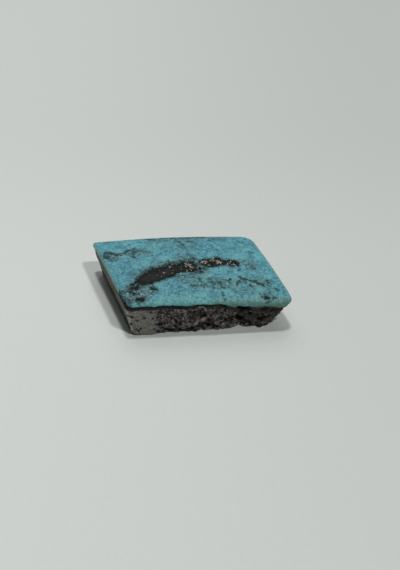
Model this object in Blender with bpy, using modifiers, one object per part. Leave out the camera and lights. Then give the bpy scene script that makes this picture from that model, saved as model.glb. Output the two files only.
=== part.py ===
"""A turquoise nugget, cut to a slanted four-sided slab.

One stone: a low-domed, hand-polished turquoise face over rough grey host rock.
The walls lean in towards a smaller base, the left end is ground smooth, the
rest of the walls is broken rock with ledges and pits, and the back is sawn flat.
Metres, +Z up. The origin is under the middle of the stone, on the sawn back.
"""

import bmesh
import bpy
from mathutils import Matrix, Vector, noise

MM = 0.001

# Where the four walls would meet at the top, seen from above: the stone's widest outline.
RIM_BACK_LEFT = (-18.55 * MM, 9.0 * MM)
RIM_BACK_RIGHT = (11.5 * MM, 11.5 * MM)
RIM_FRONT_RIGHT = (18.5 * MM, -8.4 * MM)
RIM_FRONT_LEFT = (-10.9 * MM, -10.3 * MM)

# The smaller outline of the sawn back.
BASE_BACK_LEFT = (-16.7 * MM, 7.7 * MM)
BASE_BACK_RIGHT = (9.8 * MM, 9.2 * MM)
BASE_FRONT_RIGHT = (15.1 * MM, -7.6 * MM)
BASE_FRONT_LEFT = (-9.8 * MM, -10.4 * MM)

# The block is this high all over. The polished face comes down to a height of its own at each corner,
# from back left round to front left, and its middle stands this much higher than the corners.
BLOCK_HEIGHT = 7.0 * MM
CORNER_HEIGHTS = (6.2 * MM, 5.9 * MM, 5.9 * MM, 6.75 * MM)
DOME_RISE = 1.1 * MM

# The upright corners, from back left round to front left, are each rounded a little differently.
# So are the rim's sides: back, right, front and left.
CORNER_ROUNDS = (0.9 * MM, 2.5 * MM, 2.1 * MM, 0.5 * MM)
RIM_ROUNDS = (0.6 * MM, 1.0 * MM, 0.8 * MM, 0.35 * MM)
BASE_ROUND = 0.3 * MM
ROUND_SEGMENTS = 5

# The block is made this much deeper than the stone, and the saw takes it off.
SAW_ALLOWANCE = 0.5 * MM
SAW_BLOCK_SIZE = (60 * MM, 40 * MM, 10 * MM)

# Turquoise gives way to host rock between these heights on the block's walls.
RIND_TOP = 6.2 * MM
RIND_FOOT = 5.1 * MM

# The wear of the walls fades out over the polished face, between these shares of the way to its edge.
FACE_SHARE = 0.62
WALL_SHARE = 0.90

# The ground left end gives way to broken rock between these places along X,
# and keeps this share of its relief.
GROUND_END = -7.2 * MM
BROKEN_START = -4.6 * MM
GROUND_SHARE = 0.12

# Broken rock: big flat chips, small flakes on them, and lumps with creases between.
# A tilt is rise over run. The rock is worn in by the mean depth, and nowhere stands out
# more than the last.
CHIP_SIZE = 3.0 * MM
CHIP_TILT = 0.24
CHIP_STEP = 0.12 * MM
FLAKE_SIZE = 1.2 * MM
FLAKE_TILT = 0.30
FLAKE_STEP = 0.10 * MM
LUMP_SIZE = 1.5 * MM
LUMP_HEIGHT = 0.75 * MM
MEAN_DEPTH = 0.42 * MM
STANDS_OUT_MOST = 0.15 * MM

# Slow unevenness left in the polished face by the hand that held it.
WAVE_SIZE = 9.0 * MM
WAVE_HEIGHT = 0.09 * MM

# Hollows in the block's front wall: place along X, height, half width, half height, depth.
FRONT_HOLLOWS = (
    (9.4 * MM, 4.4 * MM, 1.5 * MM, 1.3 * MM, 1.5 * MM),
    (7.9 * MM, 1.6 * MM, 2.1 * MM, 2.0 * MM, 1.0 * MM),
    (8.5 * MM, 0.3 * MM, 1.2 * MM, 1.1 * MM, 0.7 * MM),
    (4.0 * MM, 0.5 * MM, 2.4 * MM, 0.9 * MM, 0.5 * MM),
    (12.4 * MM, 2.6 * MM, 1.4 * MM, 0.9 * MM, 0.4 * MM),
)
# A hollow is deeper towards its top by this share, and shallower towards its foot.
HOLLOW_LEAN = 0.6

# Ledges on the front wall: both ends as place along X and height, half width, how far each stands out.
FRONT_LEDGES = (
    ((-1.2 * MM, 0.9 * MM), (3.6 * MM, 2.7 * MM), 0.6 * MM, 0.40 * MM),
    ((5.2 * MM, 4.2 * MM), (8.2 * MM, 5.0 * MM), 0.7 * MM, 0.45 * MM),
    ((10.6 * MM, 1.2 * MM), (13.2 * MM, 1.4 * MM), 0.6 * MM, 0.40 * MM),
)
# The hollows and ledges belong to the rock within this distance of the front.
FRONT_REACH = 4.5 * MM

# The outlines of the hollows and ledges wander by this much, at this scale.
WANDER_SIZE = 1.3 * MM
WANDER = 1.1 * MM

# The mesh: how fine it is worn, how many triangles are kept, and from what angle an edge looks sharp.
REMESH_SIZE = 0.26 * MM
TRIANGLES_KEPT = 8600
SHARP_ANGLE = 0.5

TURQUOISE_COLOUR = (0.10, 0.30, 0.35, 1.0)
POLISHED_ROUGHNESS = 0.38

# Offsets that keep the patterns apart where they share one kind of noise.
LEAN_PATTERN = Vector((11.3, 4.7, 7.9))
STEP_PATTERN = Vector((5.1, 9.2, 2.6))
LUMP_PATTERN = Vector((31.4, 17.2, 23.6))


def smooth_step(low, high, value):
    """0 below low, 1 above high, and an even S between them."""
    share = min(1.0, max(0.0, (value - low) / (high - low)))
    return share * share * (3 - 2 * share)


def make_stone_material():
    """Turquoise, as the whole stone's main colour."""
    material = bpy.data.materials.new("turquoise")
    material.use_nodes = True
    shader = material.node_tree.nodes["Principled BSDF"]
    shader.inputs["Base Color"].default_value = TURQUOISE_COLOUR
    shader.inputs["Roughness"].default_value = POLISHED_ROUGHNESS
    shader.inputs["Metallic"].default_value = 0.0
    material.diffuse_color = TURQUOISE_COLOUR
    return material


def make_block(collection):
    """A cube pulled to the rim and base outlines, with its corners and edges rounded."""
    rim = (RIM_BACK_LEFT, RIM_BACK_RIGHT, RIM_FRONT_RIGHT, RIM_FRONT_LEFT)
    base = (BASE_BACK_LEFT, BASE_BACK_RIGHT, BASE_FRONT_RIGHT, BASE_FRONT_LEFT)
    corner_signs = ((-1, 1), (1, 1), (1, -1), (-1, -1))
    bm = bmesh.new()
    bmesh.ops.create_cube(bm, size=2.0)
    corner_of = {}
    for vert in bm.verts:
        corner = corner_signs.index((round(vert.co.x), round(vert.co.y)))
        is_top = vert.co.z > 0
        outline = rim if is_top else base
        height = BLOCK_HEIGHT if is_top else -SAW_ALLOWANCE
        vert.co = Vector((*outline[corner], height))
        corner_of[vert] = (corner, is_top)
    weight = bm.edges.layers.float.new("bevel_weight_edge")
    widest = max(CORNER_ROUNDS)
    for edge in bm.edges:
        (first, first_top), (second, second_top) = (corner_of[v] for v in edge.verts)
        if first == second:
            round_off = CORNER_ROUNDS[first]
        elif first_top and second_top:
            side = min(first, second) if abs(first - second) == 1 else max(first, second)
            round_off = RIM_ROUNDS[side]
        else:
            round_off = BASE_ROUND
        edge[weight] = round_off / widest
    mesh = bpy.data.meshes.new("turquoise_nugget")
    bm.to_mesh(mesh)
    bm.free()
    stone = bpy.data.objects.new("turquoise_nugget", mesh)
    collection.objects.link(stone)
    bevel = stone.modifiers.new("rounded corners", "BEVEL")
    bevel.limit_method = "WEIGHT"
    bevel.offset_type = "OFFSET"
    bevel.width = widest
    bevel.segments = ROUND_SEGMENTS
    return stone


def add_remesh(stone, name):
    """An even mesh all over the stone, with no face through another."""
    remesh = stone.modifiers.new(name, "REMESH")
    remesh.mode = "VOXEL"
    remesh.voxel_size = REMESH_SIZE
    remesh.adaptivity = 0.0


def apply_modifiers(stone):
    """Makes the mesh as it is evaluated the object's own mesh."""
    bpy.context.view_layer.update()
    evaluated = stone.evaluated_get(bpy.context.evaluated_depsgraph_get())
    mesh = bpy.data.meshes.new_from_object(evaluated)
    stone.modifiers.clear()
    stone.data = mesh
    stone.data.name = stone.name


def place_across(x, y):
    """Where (x, y) lies within the rim: -1 to 1 from left to right, and -1 to 1 from front to back."""
    front_share = (y - RIM_FRONT_LEFT[1]) / (RIM_BACK_LEFT[1] - RIM_FRONT_LEFT[1])
    left = RIM_FRONT_LEFT[0] + front_share * (RIM_BACK_LEFT[0] - RIM_FRONT_LEFT[0])
    right = RIM_FRONT_RIGHT[0] + front_share * (RIM_BACK_RIGHT[0] - RIM_FRONT_RIGHT[0])
    right_share = (x - left) / (right - left)
    front = RIM_FRONT_LEFT[1] + right_share * (RIM_FRONT_RIGHT[1] - RIM_FRONT_LEFT[1])
    back = RIM_BACK_LEFT[1] + right_share * (RIM_BACK_RIGHT[1] - RIM_BACK_LEFT[1])
    return 2 * right_share - 1, 2 * (y - front) / (back - front) - 1


def height_share(along, across):
    """How high the stone stands here as a share of the block, from the heights of its four corners."""
    back_left, back_right, front_right, front_left = CORNER_HEIGHTS
    right_share = (along + 1) / 2
    back_share = (across + 1) / 2
    front = front_left + right_share * (front_right - front_left)
    back = back_left + right_share * (back_right - back_left)
    return (front + back_share * (back - front)) / BLOCK_HEIGHT


def dome_lift(point):
    """How far the polished face is lifted: most in the middle, half at a side's middle, none at a corner."""
    along, across = place_across(point.x, point.y)
    crown = max(0.0, 1 - (along * along + across * across) / 2)
    hand_polish = WAVE_HEIGHT * noise.noise(point / WAVE_SIZE)
    return (DOME_RISE * crown + hand_polish) * smooth_step(0, BLOCK_HEIGHT, point.z)


def chip_depth(point, size, tilt, step):
    """Flat chips of broken rock: each cell of a Voronoi pattern is a plane with its own tilt and step."""
    place = point / size
    seed = noise.voronoi(place)[1][0]
    lean = 2 * noise.cell_vector(seed * size / MM + LEAN_PATTERN) - Vector((1, 1, 1))
    rise = noise.cell(seed * size / MM + STEP_PATTERN)
    return size * tilt * (place - seed).dot(lean) + step * rise


def front_feature_depth(point):
    """The named hollows, less the named ledges, of the front wall at this place."""
    x = point.x + WANDER * noise.noise(point / WANDER_SIZE)
    z = point.z + WANDER * noise.noise(point / WANDER_SIZE + LEAN_PATTERN)
    depth = 0.0
    for hollow_x, height, half_width, half_height, deep in FRONT_HOLLOWS:
        aside = (x - hollow_x) / half_width
        above = (z - height) / half_height
        depth += deep * max(0.0, 1 - aside * aside - above * above) * (1 + HOLLOW_LEAN * above)
    for start_place, end_place, half_width, stand in FRONT_LEDGES:
        start = Vector(start_place)
        run = Vector(end_place) - start
        here = Vector((x, z)) - start
        share = min(1.0, max(0.0, here.dot(run) / run.length_squared))
        off = (here - run * share).length
        depth -= stand * (1 - smooth_step(0, half_width, off))
    return depth


def relief_depth(point):
    """How far the rock is worn in from the block here, or out where it is less than nothing."""
    rock = 1 - smooth_step(RIND_FOOT, RIND_TOP, point.z)
    broken = smooth_step(GROUND_END, BROKEN_START, point.x)
    share = GROUND_SHARE + (1 - GROUND_SHARE) * broken
    chips = chip_depth(point, CHIP_SIZE, CHIP_TILT, CHIP_STEP)
    flakes = chip_depth(point, FLAKE_SIZE, FLAKE_TILT, FLAKE_STEP)
    lumps = -LUMP_HEIGHT * abs(noise.noise(point / LUMP_SIZE + LUMP_PATTERN))
    front_y = RIM_FRONT_LEFT[1]
    front = 1 - smooth_step(front_y + FRONT_REACH / 2, front_y + FRONT_REACH, point.y)
    depth = share * (MEAN_DEPTH + chips + flakes + lumps) + front * front_feature_depth(point)
    return rock * max(depth, -STANDS_OUT_MOST)


def inward(normal):
    """The level direction into the stone, and half upwards under it, so that the back's edge breaks away."""
    return Vector((-normal.x, -normal.y, max(0.0, -normal.z) / 2))


def wear_walls(stone):
    """Wears the walls in, brings the corners down and lifts the dome, vertex by vertex."""
    mesh = stone.data
    moves = []
    for vert in mesh.vertices:
        along, across = place_across(vert.co.x, vert.co.y)
        wall = smooth_step(FACE_SHARE, WALL_SHARE, max(abs(along), abs(across)))
        move = inward(vert.normal) * relief_depth(vert.co) * wall
        move.z += dome_lift(vert.co) + vert.co.z * (height_share(along, across) - 1)
        moves.append(move)
    for vert, move in zip(mesh.vertices, moves):
        vert.co += move
    mesh.update()


def centre_on_origin(stone):
    """Moves the mesh so that the middle of its outline from above is over the origin."""
    corners = [Vector(corner) for corner in stone.bound_box]
    middle = (min(corners, key=sum) + max(corners, key=sum)) / 2
    middle.z = 0.0
    stone.data.transform(Matrix.Translation(-middle))
    stone.data.update()


def make_saw_block(helpers):
    """The block below the sawn back, which the Boolean takes off the stone."""
    bpy.ops.mesh.primitive_cube_add(size=1, location=(0, 0, -SAW_BLOCK_SIZE[2] / 2))
    saw = bpy.context.object
    saw.name = "saw_block"
    saw.scale = SAW_BLOCK_SIZE
    saw.hide_render = True
    saw.display_type = "WIRE"
    for collection in saw.users_collection:
        collection.objects.unlink(saw)
    helpers.objects.link(saw)
    return saw


def make_stone(collection, helpers):
    """The whole stone, from block to sawn and worn nugget."""
    stone = make_block(collection)
    add_remesh(stone, "even block")
    apply_modifiers(stone)
    wear_walls(stone)
    add_remesh(stone, "even stone")
    apply_modifiers(stone)
    decimate = stone.modifiers.new("fewer triangles", "DECIMATE")
    decimate.decimate_type = "COLLAPSE"
    stone.data.calc_loop_triangles()
    decimate.ratio = TRIANGLES_KEPT / len(stone.data.loop_triangles)
    apply_modifiers(stone)
    saw_cut = stone.modifiers.new("sawn back", "BOOLEAN")
    saw_cut.operation = "DIFFERENCE"
    saw_cut.solver = "EXACT"
    saw_cut.object = make_saw_block(helpers)
    apply_modifiers(stone)
    centre_on_origin(stone)
    stone.data.materials.clear()
    stone.data.materials.append(make_stone_material())
    stone.data.shade_smooth()
    stone.data.set_sharp_from_angle(angle=SHARP_ANGLE)
    return stone


def main():
    for old in list(bpy.data.objects):
        bpy.data.objects.remove(old)
    collection = bpy.data.collections.new("turquoise nugget")
    helpers = bpy.data.collections.new("cutters")
    bpy.context.scene.collection.children.link(collection)
    bpy.context.scene.collection.children.link(helpers)
    make_stone(collection, helpers)


main()
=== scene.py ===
"""The finish of a polished turquoise nugget: its fine stone, its pyrite grains and a small studio.

Laid out as a Blender add-on and run as a script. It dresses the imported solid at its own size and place.
Metres, +Z up, the stone's middle over the origin. Marks on the stone are placed in millimetres.
"""

import math

import bpy
import numpy as np
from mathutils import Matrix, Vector, noise


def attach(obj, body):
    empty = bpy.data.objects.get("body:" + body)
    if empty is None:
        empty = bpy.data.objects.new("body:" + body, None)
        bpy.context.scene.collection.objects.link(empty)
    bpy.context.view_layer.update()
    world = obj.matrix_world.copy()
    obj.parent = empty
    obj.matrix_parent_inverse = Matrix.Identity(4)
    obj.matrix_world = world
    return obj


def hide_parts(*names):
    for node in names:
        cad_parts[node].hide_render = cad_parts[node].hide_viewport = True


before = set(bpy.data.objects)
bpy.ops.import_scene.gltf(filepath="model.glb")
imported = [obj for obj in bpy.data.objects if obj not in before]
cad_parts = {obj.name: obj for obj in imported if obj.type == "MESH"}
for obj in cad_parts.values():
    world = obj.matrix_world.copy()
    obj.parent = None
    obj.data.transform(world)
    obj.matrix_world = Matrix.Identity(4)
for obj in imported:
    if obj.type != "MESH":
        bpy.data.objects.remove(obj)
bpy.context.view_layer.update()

bl_info = {
    "name": "Turquoise Nugget",
    "version": (1, 0, 0),
    "blender": (4, 5, 0),
    "location": "3D View > Sidebar > Nugget",
    "description": "Dresses a turquoise nugget with its fine surface, veins and pyrite, and lights it",
    "category": "Add Mesh",
}

MM = 0.001
NODE = "turquoise_nugget"

# The polished face's rim, seen from above, from back left round to front left. A corner is: along X,
# along Y, and how far the green of the rim reaches in along the side that starts there, all in mm.
RIM_CORNERS = ((-18.3, 8.6, 0.8), (11.8, 11.1, 1.6), (18.8, -8.8, 1.3), (-10.6, -10.7, 0.6))
# Height of the rim over the middle of the stone, in mm, and how it falls along X and along Y.
RIM_HEIGHT = 6.2
RIM_SLOPE = (-0.02, -0.014)

# How the polished face rolls off at each side, in the same order: how far in it starts and how deep it
# ends, in mm.
RIM_ROLLS = ((1.2, 0.1), (1.2, 0.12), (2.0, 0.42), (0.8, 0.05))

# How far the right end of the rock stands out at each height, in mm; less than nothing is drawn in.
RIGHT_END = ((0.4, -0.9), (1.0, -0.75), (2.0, -0.27), (2.85, 0.3), (3.6, 0.0))

# How far the foot of the front wall stands out at each place along X, in mm; less than nothing is
# drawn in.
FRONT_FOOT = (
    (-10.5, 0.05), (-7.8, 0.15), (-5.7, 0.25), (-4.3, 0.05), (-3.4, 0.45), (-1.3, 0.4), (0.0, -0.2),
    (1.2, 0.2), (2.6, -0.3), (3.8, 0.35), (7.5, 0.5), (8.7, 0.15), (9.8, -0.32), (12.4, -0.2),
    (13.2, 0.3), (14.2, 0.5), (15.5, 0.0),
)

# Dark matrix on the polished face, seen from above.
# A point is: along X, along Y, half the stroke's width, in mm.
MATRIX_STROKES = (
    ((-8.9, -5.2, 0.3), (-8.1, -4.7, 0.85), (-7.2, -4.35, 1.25), (-6.2, -3.95, 1.35), (-5.2, -3.2, 1.55),
     (-4.3, -2.6, 1.55), (-3.5, -2.3, 1.45), (-2.7, -1.6, 1.35), (-1.9, -1.15, 1.25), (-1.0, -0.9, 1.35),
     (-0.1, -0.75, 1.4), (0.7, -0.85, 1.1), (1.4, -1.2, 0.65), (2.0, -1.4, 0.25)),
    ((-8.2, -3.8, 0.3), (-7.4, -3.0, 0.42), (-6.6, -2.4, 0.5), (-5.6, -1.7, 0.48), (-4.5, -1.15, 0.4)),
    ((-6.3, -2.0, 0.25), (-6.25, -1.2, 0.14)), ((-3.5, -0.6, 0.3), (-3.3, 0.1, 0.1)),
    ((-1.0, 0.4, 0.3), (-0.6, 0.95, 0.12)), ((0.5, 0.3, 0.2), (0.75, 0.75, 0.08)),
    ((1.0, -1.8, 0.15), (0.8, -2.1, 0.1)), ((2.35, -2.05, 0.12), (2.0, -2.2, 0.08)),
    ((2.35, 0.9, 0.45), (2.9, 0.7, 1.0), (3.6, 0.55, 1.2), (4.3, 0.7, 1.25), (4.9, 0.95, 1.15),
     (5.6, 0.9, 0.85), (6.4, 0.9, 0.72), (7.1, 0.9, 0.8), (7.8, 0.75, 0.9), (8.4, 0.5, 0.6),
     (8.7, 0.2, 0.25)),
    ((4.8, 2.2, 0.28), (5.45, 2.3, 0.24), (5.5, 1.7, 0.2)),
    ((-9.4, -6.7, 0.42), (-8.8, -6.6, 0.48), (-8.6, -6.0, 0.2)), ((-9.8, -5.6, 0.18), (-9.3, -6.0, 0.15)),
    ((-9.7, -7.6, 0.12), (-9.1, -8.2, 0.18)), ((-8.4, -9.35, 0.35), (-7.6, -9.5, 0.38)),
    ((-6.3, -6.7, 0.12), (-5.8, -6.95, 0.22), (-5.3, -7.1, 0.1)),
    ((-8.6, -5.4, 0.18), (-7.4, -5.7, 0.18), (-6.4, -5.5, 0.1)),
    ((-12.0, -7.2, 0.05), (-11.5, -8.4, 0.12), (-11.0, -9.6, 0.16), (-10.5, -10.4, 0.18),
     (-9.9, -10.7, 0.2)),
    ((2.8, -1.25, 0.18),), ((0.8, 1.8, 0.16),), ((5.45, -5.0, 0.12),), ((9.0, -1.1, 0.08),),
    ((13.1, -7.6, 0.08), (13.35, -8.0, 0.18), (13.75, -8.2, 0.2)),
)

# Soft brown and green veins and smudges: how strong each is, then its stroke.
VEINS = (
    (0.8,
     ((-8.7, -3.9, 0.15), (-7.8, -2.4, 0.2), (-6.4, -1.3, 0.2), (-5.0, -0.7, 0.2), (-3.8, -0.2, 0.2))),
    (0.75, ((-3.4, 0.2, 0.2), (-2.2, 0.8, 0.25), (-0.8, 1.2, 0.2), (0.6, 0.9, 0.2), (1.4, 0.2, 0.2))),
    (0.95, ((-15.0, 4.0, 0.25), (-14.9, 3.2, 0.35), (-14.6, 2.6, 0.4), (-14.3, 2.2, 0.2))),
    (0.85, ((-14.4, 4.2, 0.18), (-13.8, 3.7, 0.2), (-13.2, 3.3, 0.25), (-12.4, 3.1, 0.28))),
    (0.75,
     ((-12.4, 3.2, 0.18), (-11.6, 3.9, 0.15), (-11.1, 4.5, 0.15), (-10.5, 4.6, 0.22), (-9.8, 5.2, 0.12))),
    (0.75,
     ((-9.7, 5.1, 0.18), (-9.5, 4.6, 0.28), (-9.8, 4.0, 0.28), (-10.2, 3.0, 0.15), (-9.7, 2.1, 0.12))),
    (0.6, ((-9.4, 4.3, 0.12), (-8.0, 4.1, 0.12), (-7.1, 3.9, 0.12), (-6.8, 3.3, 0.15))),
    (0.55, ((-14.2, 2.0, 0.12), (-13.6, 1.3, 0.15), (-12.9, 1.3, 0.12))),
    (0.45, ((-11.3, 7.1, 0.1), (-10.7, 6.4, 0.12))), (0.45, ((-13.0, 5.9, 0.1), (-12.8, 5.3, 0.12))),
    (0.5, ((-4.9, 4.8, 0.1), (-4.3, 4.1, 0.15))), (0.4, ((-6.6, 3.0, 0.1), (-5.9, 1.9, 0.12))),
    (0.4, ((-9.3, 1.7, 0.12), (-8.6, 0.5, 0.1))), (0.45, ((-11.8, 1.4, 0.15),)),
    (0.4, ((-13.7, 5.1, 0.15),)), (0.45, ((-8.3, 1.3, 0.15),)), (0.5, ((-7.4, 2.5, 0.12),)),
    (0.7, ((-11.8, 8.5, 0.15),)), (0.6, ((-7.9, 8.5, 0.15), (-6.6, 8.2, 0.2))),
    (0.55, ((-5.2, 8.9, 0.2), (-2.5, 8.8, 0.2), (0.0, 8.9, 0.2), (2.2, 9.3, 0.2))),
    (0.75, ((1.9, 9.35, 0.1), (2.7, 9.4, 0.12))), (0.55, ((-2.5, 8.1, 0.2), (-1.9, 7.6, 0.12))),
    (0.5, ((4.2, 8.6, 0.15), (4.8, 8.7, 0.12))), (0.5, ((5.9, 8.9, 0.25), (6.6, 8.6, 0.15))),
    (0.6, ((7.9, 9.3, 0.15), (8.4, 9.2, 0.12))),
    (0.65, ((-0.3, 7.7, 0.15), (0.3, 7.5, 0.2), (0.6, 7.3, 0.1))),
    (0.65, ((-1.7, 7.3, 0.1), (-1.2, 6.6, 0.15), (-1.0, 6.3, 0.12))),
    (0.45, ((-1.4, 5.8, 0.1), (-1.2, 5.0, 0.12))), (0.45, ((-0.3, 6.2, 0.12), (-0.3, 5.5, 0.1))),
    (0.55, ((1.4, 6.3, 0.15),)), (0.4, ((3.3, 6.9, 0.15), (3.8, 7.0, 0.1))), (0.5, ((-1.9, 3.1, 0.15),)),
    (0.5, ((-0.4, 3.9, 0.12), (0.1, 3.2, 0.15))), (0.45, ((-0.8, 2.8, 0.12), (-0.5, 2.3, 0.1))),
    (0.45, ((5.3, 3.9, 0.1), (5.4, 3.2, 0.15))), (0.35, ((7.2, 3.0, 0.15),)), (0.5, ((9.1, 2.1, 0.15),)),
    (0.5, ((11.7, 4.8, 0.1), (11.2, 4.1, 0.12))),
    (0.5,
     ((10.0, 1.7, 0.15), (10.8, 1.1, 0.2), (11.2, 0.6, 0.15), (11.2, -0.2, 0.2), (11.8, -0.6, 0.15))),
    (0.4, ((6.0, -0.8, 0.15), (6.1, -1.2, 0.12))), (0.45, ((8.7, -1.3, 0.12),)),
    (0.55,
     ((-3.0, -3.7, 0.25), (-1.8, -3.5, 0.3), (-0.4, -3.3, 0.35), (0.5, -2.9, 0.25), (2.0, -2.3, 0.3))),
    (0.85, ((8.9, -3.1, 0.12), (9.2, -3.6, 0.2), (10.1, -3.8, 0.15))),
    (0.75, ((8.9, -4.4, 0.2), (8.5, -4.8, 0.15), (8.4, -5.4, 0.1))),
    (0.85, ((10.6, -4.0, 0.12), (11.2, -4.3, 0.2), (11.7, -4.0, 0.12))),
    (0.9, ((11.8, -4.5, 0.12), (12.2, -4.8, 0.15), (12.7, -4.75, 0.15), (13.0, -5.3, 0.1))),
    (0.8, ((13.6, -3.8, 0.12), (13.9, -4.3, 0.2))), (0.5, ((13.9, -3.6, 0.1), (14.8, -3.9, 0.1))),
    (0.7, ((10.7, -5.2, 0.1), (11.0, -5.6, 0.2))), (0.5, ((10.1, -5.9, 0.15),)),
    (0.45, ((14.5, -5.3, 0.12), (14.9, -5.4, 0.1))), (0.75, ((15.2, -5.8, 0.12), (15.4, -6.2, 0.15))),
    (0.45, ((16.9, -6.0, 0.12),)), (0.5, ((12.2, -7.3, 0.1), (12.4, -7.5, 0.12))),
    (0.5, ((13.9, -7.3, 0.15), (14.0, -6.8, 0.1))),
    (0.6, ((12.6, -8.0, 0.15), (13.4, -8.5, 0.2), (15.0, -7.9, 0.15))),
    (0.6, ((0.7, -3.5, 0.15), (1.2, -4.0, 0.15))), (0.6, ((2.0, -4.2, 0.12), (2.2, -5.0, 0.15))),
    (0.65, ((3.6, -4.2, 0.2),)), (0.7, ((4.1, -4.9, 0.15), (4.5, -5.5, 0.18))),
    (0.5, ((4.1, -3.7, 0.1), (4.7, -3.6, 0.15), (4.9, -4.0, 0.1))), (0.65, ((6.2, -4.1, 0.15),)),
    (0.85, ((7.3, -3.8, 0.1), (7.1, -4.2, 0.12), (7.2, -4.7, 0.15))), (0.5, ((7.2, -5.2, 0.2),)),
    (0.6, ((0.4, -5.8, 0.12), (0.8, -6.2, 0.2), (1.4, -5.8, 0.12))),
    (0.55, ((2.3, -5.7, 0.15), (2.8, -5.9, 0.12), (3.4, -6.3, 0.15))),
    (0.6, ((5.7, -5.2, 0.1), (5.8, -5.8, 0.1))), (0.5, ((4.3, -6.1, 0.12), (4.4, -6.7, 0.12))),
    (0.55, ((5.8, -6.2, 0.15), (6.2, -6.4, 0.12))), (0.45, ((7.0, -6.2, 0.12),)),
    (0.4, ((-1.4, -5.0, 0.1), (-1.4, -5.6, 0.12))), (0.5, ((-0.6, -5.2, 0.12),)),
    (0.5, ((-1.6, -6.5, 0.1), (-1.4, -6.9, 0.15), (-1.0, -7.4, 0.1))), (0.35, ((1.5, -7.2, 0.15),)),
    (0.35, ((-2.8, -5.7, 0.15),)), (0.35, ((-3.0, -7.0, 0.12),)),
    (0.5, ((6.0, -7.4, 0.15), (6.0, -8.2, 0.22), (6.4, -9.0, 0.12))), (0.5, ((6.9, -7.8, 0.15),)),
    (0.6, ((8.0, -7.0, 0.1), (8.15, -7.4, 0.12))),
)

# Where the front rim is a dull green.
OLIVE_STROKES = (
    (0.55, ((5.2, -9.6, 0.3), (9.0, -9.5, 0.5), (12.0, -9.2, 0.6), (16.5, -8.5, 0.6))),
    (0.9, ((9.5, -9.9, 0.25), (12.0, -9.6, 0.45), (14.5, -9.3, 0.45), (17.6, -8.6, 0.4))),
)

# Grey clouding in the turquoise, in the same form.
CLOUDS = (
    (0.35, ((8.5, -6.6, 0.6), (12.0, -6.9, 0.8), (14.5, -6.4, 0.5))),
    (0.7, ((-9.2, -3.9, 0.4), (-8.6, -2.9, 0.35), (-7.8, -2.1, 0.35), (-6.6, -1.2, 0.4),
      (-5.4, -0.1, 0.4), (-3.6, 0.6, 0.5), (-1.6, 1.3, 0.7), (0.2, 1.3, 0.6), (1.4, 0.4, 0.5),
      (2.3, -0.5, 0.4))),
    (0.6, ((-1.2, 2.2, 0.7), (0.2, 2.2, 0.7))),
    (0.55, ((-2.0, -3.9, 0.4), (0.4, -3.4, 0.5), (2.4, -2.6, 0.5), (3.0, -1.6, 0.4))),
    (0.55, ((0.6, -4.8, 1.0), (2.2, -5.2, 1.2), (4.4, -5.2, 1.1), (6.6, -5.0, 1.0))),
    (0.55, ((9.0, -4.2, 0.6), (10.8, -4.8, 0.9), (12.4, -4.0, 0.9), (13.6, -4.4, 0.5))),
    (0.5, ((10.3, 1.2, 0.7), (11.2, 0.0, 0.7))), (0.55, ((-14.6, 3.2, 0.8), (-12.8, 2.6, 0.8))),
    (0.5, ((-10.4, 3.8, 0.8), (-9.2, 4.0, 0.8), (-7.6, 3.8, 0.4))),
    (0.5, ((-1.6, 7.2, 0.6), (-0.8, 5.6, 0.7), (0.2, 7.2, 0.6))),
    (0.45, ((-6.6, 7.8, 0.5), (-5.0, 8.4, 0.4), (0.0, 8.6, 0.4), (6.0, 9.0, 0.5))),
)

# The mottled corner, where dark matrix threads through pale turquoise.
MOTTLED_CORNER = (
    (1.0,
     ((-11.6, -8.0, 0.3), (-10.4, -8.6, 1.0), (-8.8, -7.5, 1.5), (-7.6, -7.5, 1.2), (-6.6, -6.6, 0.3))),
)

# Where the matrix is brown and not black.
BROWN_STROKES = (
    (0.9,
     ((-7.8, -4.4, 0.3), (-7.0, -4.1, 0.7), (-5.6, -3.5, 0.8), (-4.6, -3.3, 0.6), (-3.8, -2.2, 0.6))),
    (0.5, ((-3.4, -1.6, 0.5), (-1.6, -1.4, 0.6))), (0.4, ((6.3, 0.9, 0.3), (6.9, 0.8, 0.2))),
)

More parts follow.
